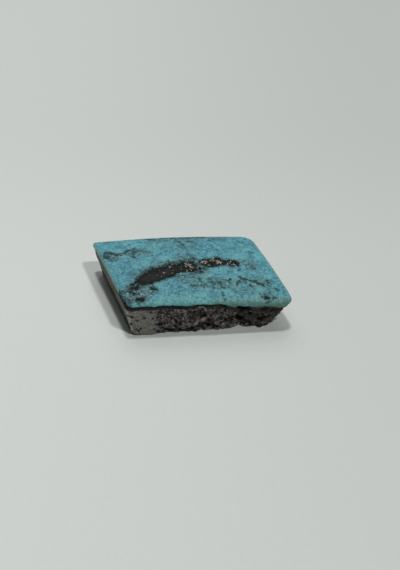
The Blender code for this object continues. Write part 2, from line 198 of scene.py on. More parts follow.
# Where pyrite shows, and how thickly it is strewn there.
PYRITE_STROKES = (
    (0.04, ((-6.0, -3.0, 1.1), (-2.0, -1.3, 1.1))),
    (0.06, ((2.9, 0.6, 0.5), (5.0, 0.7, 0.6), (8.2, 0.5, 0.4))),
    (0.8, ((-0.7, 0.3, 0.08), (0.1, 0.0, 0.14), (0.7, -0.9, 0.1))), (0.8, ((1.5, -1.15, 0.1),)),
    (1.0, ((-0.1, 0.0, 0.13),)), (0.9, ((-0.6, -0.3, 0.06), (-0.45, -0.6, 0.1))),
    (0.9, ((0.2, -0.35, 0.12), (0.3, -0.65, 0.1))), (0.9, ((0.55, -0.9, 0.1),)),
    (0.8, ((0.35, -1.6, 0.08),)), (0.8, ((-0.35, -1.85, 0.1),)), (0.6, ((-1.4, -1.3, 0.1),)),
    (0.9, ((1.7, -0.65, 0.15),)), (1.0, ((-3.25, -0.7, 0.14),)),
    (0.45, ((-4.3, -2.5, 0.08), (-4.0, -2.8, 0.12), (-3.7, -3.0, 0.08))), (0.8, ((-2.7, -2.75, 0.12),)),
    (0.9, ((-1.8, -2.75, 0.1), (-1.5, -2.75, 0.08))), (0.7, ((-1.0, -2.8, 0.1), (-0.8, -2.75, 0.08))),
    (0.6, ((-0.5, -2.4, 0.08),)), (0.3, ((-5.7, -2.6, 0.2),)),
    (1.0, ((2.6, 1.0, 0.13), (3.2, 0.95, 0.1))), (0.8, ((2.3, 0.65, 0.08),)), (0.8, ((3.7, 0.0, 0.12),)),
    (1.0, ((3.9, 1.35, 0.12), (4.2, 1.6, 0.15), (4.5, 1.4, 0.08))),
    (1.0, ((5.05, 1.4, 0.12), (5.25, 1.0, 0.22), (5.1, 0.6, 0.12))),
    (0.9, ((5.6, 1.1, 0.1), (5.8, 0.8, 0.12))), (0.8, ((6.9, 0.55, 0.1), (7.1, 0.55, 0.06))),
    (0.9, ((7.4, 1.3, 0.12),)), (0.5, ((3.0, 0.6, 0.2),)), (0.8, ((7.75, 0.35, 0.1), (7.9, 0.6, 0.05))),
    (1.0, ((8.3, 0.35, 0.1), (8.35, 0.0, 0.1))),
)
# The same on the front wall, where the second number is height.
FRONT_PYRITE_STROKES = (
    (0.9, ((0.2, 4.5, 0.15), (0.3, 4.3, 0.1))), (0.9, ((0.8, 4.4, 0.15), (1.1, 4.6, 0.1))),
    (1.0, ((2.1, 5.25, 0.1), (2.9, 5.15, 0.12))), (0.6, ((4.3, 5.05, 0.1), (4.5, 5.0, 0.1))),
    (0.5, ((-0.9, 2.75, 0.08),)), (0.5, ((10.8, 3.6, 0.12),)),
)

# Heights of the turquoise's lower limit along the front wall: place along X, height, in mm.
FRONT_RIND = (
    (-10.5, 6.2), (-9.0, 6.08), (-7.5, 6.16), (-5.6, 6.0), (-5.0, 6.15), (-3.5, 6.1), (-1.8, 5.98),
    (-0.7, 5.8), (0.4, 5.84), (1.4, 6.0), (2.4, 6.12), (3.4, 6.02), (4.4, 5.9), (5.2, 6.05), (6.2, 5.75),
    (7.5, 5.3), (8.5, 5.15), (9.5, 4.8), (10.5, 4.88), (11.6, 4.82), (12.6, 4.6), (14.0, 4.65),
    (16.0, 4.55),
)

# Crevices of the front wall: depth in mm, then a stroke whose second number is height.
FRONT_CREVICES = (
    (0.4, ((-5.2, 3.5, 0.12), (-5.25, 3.2, 0.12))),
    (0.35, ((-5.35, 2.7, 0.15), (-5.3, 2.0, 0.12), (-5.35, 1.4, 0.08), (-5.35, 0.5, 0.15))),
    (0.5, ((-5.4, 1.95, 0.1), (-4.9, 1.85, 0.2), (-4.5, 1.95, 0.12))), (0.25, ((-3.9, 2.5, 0.12),)),
    (0.3, ((-1.0, 1.25, 0.12),)), (0.25, ((-0.6, 2.65, 0.12),)),
    (0.4, ((-3.6, 3.3, 0.08), (-2.8, 3.1, 0.12), (-2.3, 3.1, 0.15))),
    (0.55, ((-2.3, 2.9, 0.15), (-2.2, 2.4, 0.25), (-2.0, 2.1, 0.15))),
    (0.4, ((-1.3, 3.4, 0.1), (-1.0, 3.2, 0.18))),
    (0.4, ((-1.3, 2.3, 0.15), (-1.4, 1.8, 0.12), (-1.6, 1.3, 0.1))),
    (0.45, ((-4.0, 0.45, 0.12), (-2.6, 0.45, 0.15), (-0.8, 0.35, 0.12))),
    (0.4, ((0.6, 0.7, 0.15), (1.4, 1.3, 0.3), (2.2, 1.6, 0.3), (3.0, 1.1, 0.35), (3.4, 0.7, 0.2))),
    (0.4, ((1.6, 2.0, 0.08), (2.0, 1.95, 0.12))),
    (0.35, ((6.1, 4.1, 0.1), (6.4, 4.4, 0.08), (6.9, 4.7, 0.12), (7.6, 4.75, 0.08))),
    (0.6, ((7.2, 2.5, 0.15), (7.8, 2.9, 0.2), (8.3, 3.2, 0.2), (8.5, 2.6, 0.25), (8.6, 1.9, 0.3),
      (9.0, 1.3, 0.3))),
    (0.55, ((9.2, 4.6, 0.15), (9.7, 4.5, 0.25), (10.0, 4.2, 0.15))),
    (0.3, ((10.7, 3.1, 0.15), (10.9, 2.8, 0.12))), (0.3, ((12.3, 1.5, 0.2),)),
    (0.25, ((12.9, 2.2, 0.12),)), (0.25, ((13.8, 2.7, 0.12),)),
    (0.3, ((6.2, 2.0, 0.08), (6.3, 1.2, 0.1))),
)
# Ridges that stand out of the front wall, in the same form.
FRONT_RIDGES = (
    (0.3, ((-0.3, 1.0, 0.15), (0.9, 1.8, 0.2), (2.0, 2.35, 0.2), (3.2, 2.75, 0.15))),
    (0.18, ((5.9, 4.6, 0.2), (6.8, 4.95, 0.1))), (0.18, ((7.5, 3.5, 0.25), (8.2, 4.2, 0.25))),
    (0.2, ((-4.4, 1.5, 0.4), (-3.8, 1.6, 0.4))),
)
# Small pits in the ground left end of the front wall, in the same form.
GROUND_PITS = (
    (0.3, ((-10.2, 4.1, 0.12),)), (0.3, ((-9.7, 4.05, 0.1), (-9.4, 3.95, 0.1))),
    (0.35, ((-9.75, 2.4, 0.17),)), (0.15, ((-8.6, 3.1, 0.1),)), (0.3, ((-8.1, 1.4, 0.12),)),
    (0.3, ((-8.5, 1.0, 0.13),)), (0.2, ((-8.85, 1.3, 0.1),)), (0.15, ((-6.0, 3.3, 0.1),)),
    (0.25, ((-5.8, 1.25, 0.12),)), (0.12, ((-7.4, 3.6, 0.12),)), (0.15, ((-6.3, 4.7, 0.1),)),
)
# Paler and darker rock on the front wall: how strong, then a stroke whose second number is height. The pale
# strokes follow ridges and ledges and are mostly painted highlight.
FRONT_PALE_AND_HIGHLIGHT = (
    (0.7, ((-4.4, 1.6, 0.4), (-3.8, 1.5, 0.4))),
    (0.5, ((-0.2, 1.0, 0.15), (1.0, 1.8, 0.15), (2.2, 2.4, 0.2), (3.4, 2.7, 0.25))),
    (0.35, ((-4.4, 4.2, 0.6), (-3.4, 2.2, 1.0), (-1.0, 3.8, 0.8))),
    (0.6, ((5.8, 4.5, 0.25), (6.6, 4.9, 0.12))), (0.5, ((7.5, 3.5, 0.25), (8.3, 4.4, 0.25))),
)
# The dark strokes are darker rock and partly painted shade: along the foot, in hollows and under the rim at
# the right end.
FRONT_DARK_AND_SHADE = (
    (0.8, ((10.5, 2.5, 1.4), (13.5, 2.2, 1.3), (15.5, 3.4, 0.6))),
    (0.7, ((9.4, 3.6, 0.8), (9.2, 2.2, 0.8))), (0.45, ((1.0, 3.3, 0.8), (2.6, 3.8, 0.6))),
    (0.4, ((-3.2, 3.2, 0.4), (-1.8, 2.4, 0.5))), (0.5, ((-4.0, 0.4, 0.2), (3.4, 0.5, 0.3))),
    (0.6, ((10.5, 4.7, 0.25), (16.0, 4.5, 0.3))),
)

# Painted highlight along the corner between the front and the left wall, in the same coordinates.
CORNER_HIGHLIGHT = ((1.0, ((-10.4, 5.4, 0.14), (-10.15, 4.0, 0.18), (-9.95, 2.4, 0.18), (-9.7, 0.8, 0.12))),)

# Masks that are soft strokes, on the face and on the front wall: how soft, in mm, then the strokes.
FACE_MARKS = {
    "vein": (0.4, VEINS), "cloud": (1.0, CLOUDS), "mottled": (1.5, MOTTLED_CORNER),
    "brown": (0.5, BROWN_STROKES), "olive": (0.8, OLIVE_STROKES), "pyrite": (0.3, PYRITE_STROKES),
}
FRONT_MARKS = {
    "pale": (0.4, FRONT_PALE_AND_HIGHLIGHT), "dark": (0.6, FRONT_DARK_AND_SHADE), "corner": (0.15, CORNER_HIGHLIGHT),
    "pit": (0.22, [(1.0, pit) for _, pit in GROUND_PITS]), "front_pyrite": (0.2, FRONT_PYRITE_STROKES),
}

# Soft limits on the stone: where each has its least effect and where its full one, in mm where nothing
# else is said.
FADES = {
    # Heights over the turquoise's lower limit; the rind's foot in widths of the rind.
    "rock": (-0.35, -0.9), "rind top": (0.0, -0.25), "rind foot": (-1.3, -1.0),
    "polish": (0.05, 0.5), "roll": (0.0, 0.9),
    # How level the normal is on a wall, and how far it points left on the left wall.
    "wall": (0.25, 0.6), "left wall": (0.3, 0.8),
    # Places along Y, then along X, then heights.
    "front relief": (-6.0, -7.5), "front colours": (-5.5, -7.0), "front foot": (-5.0, -8.0),
    "right end": (9.5, 14.5), "low front": (2.6, 0.8), "low left": (4.2, 1.4),
    # Distances in from the rim, and out from the matrix.
    "dark edge": (0.78, 0.50), "left rim highlight": (0.55, 0.15), "matrix": (0.1, -0.2),
}
# The front wall lies in front of this place along Y, in mm.
FRONT_FACE = -8.0
# How dark the painted shade at the foot of the left wall is.
FOOT_SHADE = 0.80
# How much of the rim's reach is wholly green.
RIM_SOLID_SHARE = 0.3
# Away from the front wall, the turquoise's lower limit lies this far below the rim and waves by this
# much, and all round it is ragged. Heights and sizes in mm.
RIM_BAND = 0.6
RIM_BAND_WAVE = 0.2
RIM_BAND_WAVE_SIZE = 2.3
RIND_RAGGED = 0.08
RIND_RAGGED_SIZE = 0.7
# The wander of the front wall's outlines, and the width of the sloping sides of its cuts, in mm.
FRONT_WANDER = 0.15
FRONT_WANDER_SIZE = 0.5
CREVICE_EDGE = 0.14
RIDGE_EDGE = 0.20
PIT_EDGE = 0.12
# Chips against flakes, and the width of a crack against the spacing of the cracks.
CHIP_TILT_SHARE = 1.4
CHIP_STEP_SHARE = 0.5
CRACK_WIDTH = 0.16
# How much of a wall's relief may move it up or down.
WALL_DROP_SHARE = 0.3
# A normal that points further down than this belongs to the underside.
UNDERSIDE_NORMAL = -0.2
# Masks hold no distance longer than this, in mm.
MASK_REACH = 3.0
# How often the surface is averaged to tell hollows from ridges.
EVENING_PASSES = 24
WELD_DISTANCE = 0.001 * MM
SHARP_ANGLE = math.radians(30)
# Guards a division where a stroke is a single point.
SMALLEST_SHARE = 1e-9

# Offsets that keep patterns apart where they draw on one kind of noise, and how far the flakes' seeds
# are spread so that neighbours draw different values from it.
LEAN_PATTERN = Vector((17.3, 5.1, 9.7))
STEP_PATTERN = Vector((3.9, 14.2, 6.6))
GATE_PATTERN = Vector((41.7, 12.9, 27.3))
RIND_PATTERN = Vector((8.3, 33.1, 19.9))
CELL_SPREAD = 7.0

# The materials' patterns, and the inputs of each kind of pattern. Sizes, lines, wanders and softness are
# in mm. A shift keeps cloudy patterns apart, a width is a share of the size, and gaps is the level of
# noise below which a line is left out.
PATTERN_INPUTS = {
    "Mottle": ("Size", "Contrast", "Shift"),
    "Crackle": ("Size", "Width", "Gaps"),
    "Ragged Edge": ("Size", "Line", "Wander", "Softness"),
    "Specks": ("Size",),
    "Chips": ("Size",),
}
PATTERNS = {
    "broad clouds": ("Mottle", 4.5, 2.4, 0.0),
    "clouds": ("Mottle", 1.3, 3.4, 3.0),
    "fine clouds": ("Mottle", 0.42, 4.8, 6.0),
    "green patches": ("Mottle", 1.9, 3.2, 9.0),
    "clouding": ("Mottle", 0.8, 3.4, 12.0),
    "blots": ("Mottle", 0.65, 4.0, 15.0),
    "vein grain": ("Mottle", 0.42, 4.5, 18.0),
    "speckle": ("Mottle", 0.28, 5.0, 21.0),
    "rock patches": ("Mottle", 1.3, 3.4, 24.0),
    "streaks": ("Mottle", 1.0, 3.0, 30.0),
    "grit": ("Mottle", 0.24, 2.4, 33.0),
    "matrix grain": ("Mottle", 0.32, 5.0, 36.0),
    "table grain": ("Mottle", 0.8, 1.5, 0.0),
    "clouded cracks": ("Crackle", 0.95, 0.13, 0.35),
    "thread lines": ("Crackle", 0.85, 0.17, 0.25),
    "rock cracks": ("Crackle", 0.7, 0.165, 0.3),
    "matrix edge": ("Ragged Edge", 0.6, 0.05, 0.42, 0.08),
    "inside matrix": ("Ragged Edge", 0.6, -0.3, 0.3, 0.15),
    "rock edge": ("Ragged Edge", 0.5, 0.0, 0.08, 0.05),
    "black rind edge": ("Ragged Edge", 0.5, -0.46, 0.15, 0.1),
    "brown rind edge": ("Ragged Edge", 0.6, -0.95, 0.3, 0.15),
    "flecks": ("Specks", 0.4),
    "glitter": ("Specks", 0.15),
    "chips": ("Chips", 0.5),
}
# Soft ramps: from and to, and what they become where that isn't 0 and 1.
RAMPS = {
    "duller front": (-7.0, 3.0, 0.07, 0.0),
    "paler left": (-15.0, -7.0, 0.04, 0.0),
    "blue": (0.0, 0.96),
    "streaks": (0.55, 1.0, 0.0, 0.4),
    "green": (0.45, 1.0, 0.0, 0.55),
    "rim grain": (0.1, 0.7, 0.30, 0.95),
    "olive grain": (0.0, 1.0, 1.0, 0.55),
    "blots": (0.66, 0.95),
    "threads": (0.1, 0.9),
    "clouding": (0.2, 0.8, 0.25, 1.0),
    "veins": (0.22, 0.90, 0.0, 0.95),
    "halo": (0.0, 0.60, 0.85, 0.0),
    # Painted highlight on ridges and painted shade in hollows, by how deep the surface lies.
    "ridge_highlight": (-0.10, 0.05, 1.0, 0.0),
    "hollow": (0.03, 0.12, 0.0, 0.8),
    "lit rock": (0.33, 0.99),
    "ground": (0.1, 0.8, 0.35, 1.0),
    "matrix": (0.35, 1.0, 0.0, 0.55),
    "tarnish": (0.3, 0.7),
    "tarnish roughness": (0.3, 0.7, 0.28, 0.45),
    "table grain": (0.0, 1.0, 0.97, 1.0),
    # The table's painted light: a little paler on the left and darker behind.
    "table from left": (-60.0, 60.0, 1.12, 0.94),
    "table from front": (0.0, 70.0, 1.0, 0.93),
}
# How much of each layer shows where its mask is full.
COVER = {
    "worn": 0.45, "edge": 0.85, "pale green": 0.8, "mottled": 0.50, "flecks": 0.75, "threads": 0.85,
    "dark": 0.24, "cracks": 0.9, "corner": 0.9, "pyrite": 0.6, "dull matrix": 0.6,
}
# Weighted sums: where each starts, then its weights.
BLENDS = {
    "tone": (0.0, 0.25, 0.18, 0.57),
    # Flecks: a low share everywhere and more along the rim are painted glints; in the mottled corner they
    # are pale stone.
    "flecks": (0.05, 0.14, 0.60),
    "clouded cracks": (0.06, 1.35),
    "lit rock": (0.0, 0.15, 0.56, 0.12, 0.32, 0.25, -0.32),
    "ground": (0.0, 0.65, 0.35),
    "grit": (0.15, 1.25),
}
# How much of a vein shows whatever its grain, and how far the halo's edge wanders, in mm.
VEIN_FLOOR = 0.52
HALO_WANDER = 0.6
# How much rougher than the polish the darkest turquoise is, and the palest.
POLISH_STEPS = (0.06, -0.04)
# Slanting patterns: degrees about each axis, then the stretch along each.
STREAK_SLANT = ((0, 0, -58), (2.6, 0.5, 0.5))
ROCK_SLANT = ((0, -33, 0), (1.7, 1.0, 0.7))

# Where a speck's edge lies, as a share of its cell.
SPECK_EDGE = (0.22, 0.40)
# How far noise pushes the cells of the cracks and chips, as a share of their size.
CRACKLE_WANDER = 1.0
CHIP_WANDER = 0.6
# The noise that leaves gaps in cracks: its shift, and how softly a gap ends.
GAP_SHIFT = 27.0
GAP_SOFTNESS = 0.25
# Height of the finest grit.
GRIT_HEIGHT = 0.08 * MM

# Pyrite is a little tarnished; it is drawn only partly metal, so that its near-white base colour shows as a
# painted glint whichever way a grain faces.
METAL_SHARE = 0.35
GOLD_ROUGHNESS = 0.4
TARNISH_SHADE = 0.6
# A grain's crystal, in half widths of the grain, how much it is stretched and flattened, and how
# strongly grains cluster where pyrite is thick.
CRYSTAL_WIDTH = 1.5
CRYSTAL_CORNER = 0.4
GRAIN_STRETCH = (0.7, 1.3)
GRAIN_FLATNESS = (0.35, 0.75)
CLUSTERING = 2.5

# Lamps: name, the direction it shines from, the setting for its power, its kind and its outline.
LAMPS = (
    ("front_lamp", (16.0, -12.9, 37.0), "front_power", "lamp", "DISK"),
    ("back_lamp", (-0.5, 5.8, 37.0), "back_power", "lamp", "DISK"),
    ("window", (-0.1, 0.64, 0.77), "window_power", "window", "SQUARE"),
    ("side_window", (-0.80, 0.25, 0.55), "side_power", "window", "SQUARE"),
)
BACKDROP_COLOUR = (0.60, 0.63, 0.61, 1.0)
BACKDROP_STRENGTH = 0.9
# The table lies a hair below the stone, so that the two share no surface.
FLOOR_HEIGHT = -0.02 * MM
FLOOR_ROUGHNESS = 0.7
# The camera sees nothing nearer than this.
NEAREST_SEEN = 0.01


def length_property(name, description, default, smallest=0.0):
    return bpy.props.FloatProperty(
        name=name, description=description, default=default, min=smallest,
        unit="LENGTH", subtype="DISTANCE", precision=5,
    )


def colour_property(name, description, default):
    return bpy.props.FloatVectorProperty(
        name=name, description=description, default=(*default, 1.0), size=4,
        min=0.0, max=1.0, subtype="COLOR",
    )


def share_property(name, description, default):
    return bpy.props.FloatProperty(
        name=name, description=description, default=default, min=0.0, max=1.0, subtype="FACTOR"
    )


def power_property(name, description, default):
    return bpy.props.FloatProperty(
        name=name, description=description, default=default, min=0.0, unit="POWER"
    )


class NuggetShape(bpy.types.PropertyGroup):
    """Sizes of the stone's fine surface."""

    mesh_size: length_property("Mesh Size", "Width of one face of the fine stone", 0.149 * MM, 0.05 * MM)
    flake_size: length_property("Flake Size", "Width of a flake of the broken rock", 0.95 * MM)
    chip_size: length_property("Chip Size", "Width of the smallest chips on the flakes", 0.42 * MM)
    flake_tilt: share_property("Flake Tilt", "Rise over run of a flake", 0.36)
    flake_step: length_property("Flake Step", "Height of the steps between flakes", 0.12 * MM)
    crack_size: length_property("Crack Spacing", "Distance between the cracks of the broken rock", 1.9 * MM)
    crack_depth: length_property("Crack Depth", "Depth of the deepest cracks", 0.26 * MM)
    ground_share: share_property("Ground Relief", "Share of the relief in the ground end", 0.12)
    ground_end: length_property("Ground End", "How far left of the middle the ground end stops", 6.2 * MM)
    broken_start: length_property("Broken Start", "How far left of the middle broken rock starts", 5.0 * MM)
    rind_width: length_property("Rind Width", "Height of the black rind under the turquoise", 0.95 * MM)
    rind_depth: length_property("Rind Depth", "How far the black rind is worn in", 0.10 * MM)
    matrix_depth: length_property("Matrix Depth", "How far the matrix lies below the polish", 0.05 * MM)
    polish_passes: bpy.props.IntProperty(
        name="Polish Passes", description="Smoothing passes on the polish", default=66, min=0, max=400
    )


class NuggetColours(bpy.types.PropertyGroup):
    """Colours of the stone and its grains."""

    turquoise_deep: colour_property("Deep Turquoise", "Darker turquoise flecks", (0.040, 0.152, 0.190))
    turquoise_pale: colour_property("Pale Turquoise", "Paler turquoise flecks", (0.128, 0.382, 0.450))
    turquoise_green: colour_property("Green Turquoise", "Greener turquoise", (0.174, 0.440, 0.380))
    turquoise_grey: colour_property("Clouded Turquoise", "Clouding by the matrix", (0.088, 0.140, 0.128))
    # Pale flecks: pale stone in the mottled corner, painted glints along the rim and over the face.
    fleck_and_glint: colour_property("Fleck and Glint", "Pale flecks of the mottled corner and the rim", (0.300, 0.490, 0.530))
    olive: colour_property("Olive Rim", "Dull green rim at the front right", (0.120, 0.205, 0.160))
    # A painted highlight along the edge of the left rim.
    worn: colour_property("Rim Highlight", "Thin pale line along the left rim", (0.300, 0.420, 0.300))
    edge: colour_property("Dark Edge", "Dark edge of the back and right rims", (0.018, 0.055, 0.055))
    halo: colour_property("Halo", "Darkening of the turquoise beside a matrix band", (0.022, 0.055, 0.062))
    thread: colour_property("Thread", "Threads of the mottled corner", (0.014, 0.026, 0.038))
    vein: colour_property("Vein", "Fine veins in the turquoise", (0.012, 0.036, 0.031))
    matrix_black: colour_property("Black Matrix", "Rim of the matrix bands", (0.005, 0.009, 0.008))
    matrix_brown: colour_property("Brown Matrix", "Inside of the matrix bands", (0.020, 0.0205, 0.0195))
    rock_ground: colour_property("Ground Rock", "Host rock that is ground smooth", (0.295, 0.285, 0.252))
    # A painted highlight along the corner of the ground rock.
    rock_edge_highlight: colour_property("Rock Edge", "Worn edge of the ground rock", (0.640, 0.610, 0.550))
    rock_pale: colour_property("Pale Rock", "Pale parts of the broken rock", (0.295, 0.283, 0.264))
    rock_dark: colour_property("Dark Rock", "Broken rock", (0.068, 0.062, 0.058))
    # Dark of the cracks, and painted shade in pits, hollows and at the foot of the left wall.
    rock_pit_and_shade: colour_property("Pit and Shade", "Bottom of pits and cracks", (0.010, 0.009, 0.009))
    rind: colour_property("Rind", "Black rind under the turquoise", (0.016, 0.023, 0.020))
    rind_olive: colour_property("Olive Rind", "Rind at the right end", (0.078, 0.080, 0.060))
    rind_brown: colour_property("Brown Rind", "Where the rind turns to rock", (0.038, 0.034, 0.030))
    # Near white, so that pyrite shows as a painted glint under any light.
    pyrite: colour_property("Pyrite", "Pyrite grains", (0.96, 0.88, 0.70))
    polish: share_property("Polished Roughness", "Roughness of the polished turquoise", 0.46)
    rough_rock: share_property("Rock Roughness", "Roughness of the host rock", 0.9)
    shine: share_property("Shine", "Strength of the stone's reflections", 0.15)


class PyriteSizes(bpy.types.PropertyGroup):
    """Sizes and number of the pyrite grains."""

    smallest: length_property("Smallest Grain", "Half width of the smallest grain", 0.04 * MM)
    largest: length_property("Largest Grain", "Half width of the largest grain", 0.10 * MM)
    sunk: share_property("Sunk", "Share of a grain's half width that lies below the surface", 0.55)
    count: bpy.props.IntProperty(name="Grains", description="Number of grains", default=190, min=0)
    seed: bpy.props.IntProperty(name="Seed", description="Which strewing of the grains", default=7, min=0)


class StageSizes(bpy.types.PropertyGroup):
    """The table, the lamps and the camera."""

    floor_size: length_property("Floor Size", "Width of the pale floor", 1.2)
    floor_colour: colour_property("Floor Colour", "Colour of the pale floor", (0.580, 0.614, 0.590))
    lamp_size: length_property("Lamp Size", "Width of each of the two lamps", 0.15)
    lamp_distance: length_property("Lamp Distance", "Distance of each lamp from the stone", 1.5)
    window_size: length_property("Window Size", "Width of each soft window light", 1.8)
    window_distance: length_property("Window Distance", "Distance of each window from the stone", 2.4)
    front_power: power_property("Front Lamp", "Power of the lamp in front", 9.2)
    back_power: power_property("Back Lamp", "Power of the lamp behind", 8.3)
    window_power: power_property("Window", "Power of the soft light behind", 17.2)
    side_power: power_property("Side Window", "Power of the light on the left", 2.0)
    room_light: bpy.props.FloatProperty(
        name="Room Light", description="Strength of the light from all round", default=0.012, min=0.0
    )
    lens: bpy.props.FloatProperty(name="Lens", description="Focal length in mm", default=55.0, min=1.0)
    camera_distance: length_property("Camera Distance", "Distance of the camera from its aim", 0.1611)
    camera_elevation: bpy.props.FloatProperty(
        name="Camera Elevation", description="Angle of the view above the table",
        default=math.radians(38.0), subtype="ANGLE",
    )
    camera_aim: bpy.props.FloatVectorProperty(
        name="Camera Aim", description="Point on the table in the middle of the view", size=3,
        default=(2.045 * MM, 3.363 * MM, 0.0), subtype="TRANSLATION",
    )


def make_active(piece):
    """Selects only this piece, so that operators act on it alone."""
    bpy.ops.object.select_all(action="DESELECT")
    piece.select_set(True)
    bpy.context.view_layer.objects.active = piece


def edit_all(piece, operator, **settings):
    """Runs one edit mode operator on the whole of a piece."""
    make_active(piece)
    bpy.ops.object.mode_set(mode="EDIT")
    bpy.ops.mesh.select_all(action="SELECT")
    operator(**settings)
    bpy.ops.object.mode_set(mode="OBJECT")


def apply_modifier(piece, kind, name, **settings):
    """Adds one modifier with its settings and applies it."""
    make_active(piece)
    modifier = piece.modifiers.new(name, kind)
    for key, value in settings.items():
        setattr(modifier, key, value)
    bpy.ops.object.modifier_apply(modifier=modifier.name)


def smooth_step(low, high, values):
    """0 below low, 1 above high, and an even S between them; low may also be the higher of the two."""
    share = np.clip((values - low) / (high - low), 0.0, 1.0)
    return share * share * (3 - 2 * share)


def fade(name, values):
    """The soft limit that FADES gives by this name, as a share at each value."""
    return smooth_step(*FADES[name], values)


def between(limits, share):
    """The value this share of the way from the first limit to the second."""
    low, high = limits
    return low + (high - low) * share


def read_points(mesh):
    """The places and normals of a mesh's points, as arrays."""
    places = np.empty(len(mesh.vertices) * 3)
    normals = np.empty(len(mesh.vertices) * 3)
    mesh.vertices.foreach_get("co", places)
    mesh.vertices.foreach_get("normal", normals)
    return places.reshape(-1, 3), normals.reshape(-1, 3)


def write_places(mesh, places):
    mesh.vertices.foreach_set("co", places.astype(np.float32).ravel())
    mesh.update()


def write_mask(mesh, name, values):
    """Stores one number at each point, for the material to read."""
    attribute = mesh.attributes.new(name, "FLOAT", "POINT")
    attribute.data.foreach_set("value", values.astype(np.float32))


def noise_at(places, size, pattern):
    """Smooth noise from -1 to 1 at each place; places and size share one unit."""
    return np.array([noise.noise(Vector(place) / size + pattern) for place in places])


def outside_stroke(spots, stroke):
    """How far each spot lies outside a stroke; less than nothing inside it."""
    points = np.array(stroke)
    nearest = np.full(len(spots), np.inf)
    for start, end in zip(points, points[1:] if len(points) > 1 else points):
        run = end[:2] - start[:2]
        share = np.clip((spots - start[:2]) @ run / max(run @ run, SMALLEST_SHARE), 0.0, 1.0)
        on_line = start + share[:, None] * (end - start)
        away = np.linalg.norm(spots - on_line[:, :2], axis=1) - on_line[:, 2]
        nearest = np.minimum(nearest, away)
    return nearest


def soft_marks(spots, marks, softness):
    """The strongest of several soft strokes at each spot, from 0 to 1."""
    strongest = np.zeros(len(spots))
    for strength, stroke in marks:
        mark = strength * (1 - smooth_step(0.0, softness, outside_stroke(spots, stroke)))
        strongest = np.maximum(strongest, mark)
    return strongest


def cut_depth(spots, cuts, edge):
    """The deepest of several cuts at each spot, each with sloping sides this wide."""
    deepest = np.zeros(len(spots))
    for depth, stroke in cuts:
        deepest = np.maximum(deepest, depth * (1 - smooth_step(-edge, edge, outside_stroke(spots, stroke))))
    return deepest


def even_out(values, pairs, passes):
    """Averages each point's values with its neighbours', this many times."""
    count = len(values)
    ends = np.concatenate((pairs[:, 0], pairs[:, 1]))
    others = np.concatenate((pairs[:, 1], pairs[:, 0]))
    neighbours = np.bincount(ends, minlength=count)[:, None]
    for _ in range(passes):
        total = np.stack([np.bincount(ends, values[others, axis], count) for axis in range(3)], axis=1)
        values = (values + total / neighbours) / 2
    return values


def above_rind(places_mm):
    """Height of each place over the turquoise's lower limit, in mm; less than nothing on the rock."""
    along, across, height = places_mm.T
    along_front = np.interp(along, *np.array(FRONT_RIND).T)
    rim = RIM_HEIGHT + places_mm[:, :2] @ np.array(RIM_SLOPE)
    elsewhere = rim - RIM_BAND + RIM_BAND_WAVE * noise_at(places_mm, RIM_BAND_WAVE_SIZE, RIND_PATTERN)
    front = fade("front relief", across)
    ragged = RIND_RAGGED * noise_at(places_mm, RIND_RAGGED_SIZE, RIND_PATTERN)
    return height - (elsewhere + front * (along_front - elsewhere) + ragged)


def inside_rim(spots):
    """How far each spot lies inside each of the rim's four sides, in mm."""
    for (x, y, _), (next_x, next_y, _) in zip(RIM_CORNERS, RIM_CORNERS[1:] + RIM_CORNERS[:1]):
        run = np.array((next_x - x, next_y - y))
        yield (spots - np.array((x, y))) @ np.array((run[1], -run[0])) / np.linalg.norm(run)


def rim_share(spots):
    """1 at the rim of the polished face, falling to 0 where the rim's green ends."""
    share = np.zeros(len(spots))
    for inside, (_, _, reach) in zip(inside_rim(spots), RIM_CORNERS):
        share = np.maximum(share, smooth_step(reach, RIM_SOLID_SHARE * reach, inside))
    return share


def roll_rim(stone):
    """Lets the polished face roll off towards its rim, most of all at the front."""
    places, _ = read_points(stone.data)
    places_mm = places / MM
    drop = np.zeros(len(places))
    for inside, (start, depth) in zip(inside_rim(places_mm[:, :2]), RIM_ROLLS):
        drop = np.maximum(drop, depth * (1 - np.clip(inside / start, 0.0, 1.0)) ** 2)
    places[:, 2] -= MM * drop * fade("roll", above_rind(places_mm))
    write_places(stone.data, places)


def shape_foot(stone):
    """Draws the foot of the right end in, and moves the foot of the front wall in and out."""
    places, _ = read_points(stone.data)
    along, across, height = (places / MM).T
    right_end = fade("right end", along) * np.interp(height, *np.array(RIGHT_END).T)
    front = fade("front foot", across) * fade("low front", height)
    places[:, 0] += MM * right_end
    places[:, 1] -= MM * front * np.interp(along, *np.array(FRONT_FOOT).T)
    write_places(stone.data, places)


def flake_depth(place, size, tilt, step):
    """Flat flakes: each cell of a Voronoi pattern is a plane with its own tilt and step."""
    spot = place / size
    seed = noise.voronoi(spot)[1][0]
    lean = 2 * noise.cell_vector(seed * CELL_SPREAD + LEAN_PATTERN) - Vector((1, 1, 1))
    rise = noise.cell(seed * CELL_SPREAD + STEP_PATTERN)
    return size * tilt * (spot - seed).dot(lean) + step * rise


def crack_depth(place, size, depth):
    """Cracks along some of the borders of a Voronoi pattern."""
    distances = noise.voronoi(place / size)[0]
    border = distances[1] - distances[0]
    gate = noise.noise(place / (2 * size) + GATE_PATTERN)
    open_share = min(1.0, max(0.0, 0.5 + 2 * gate))
    return depth * open_share * max(0.0, 1 - border / CRACK_WIDTH)


def broken_share(x, shape):
    """0 on the ground left end and 1 on broken rock."""
    return smooth_step(-shape.ground_end, -shape.broken_start, x)


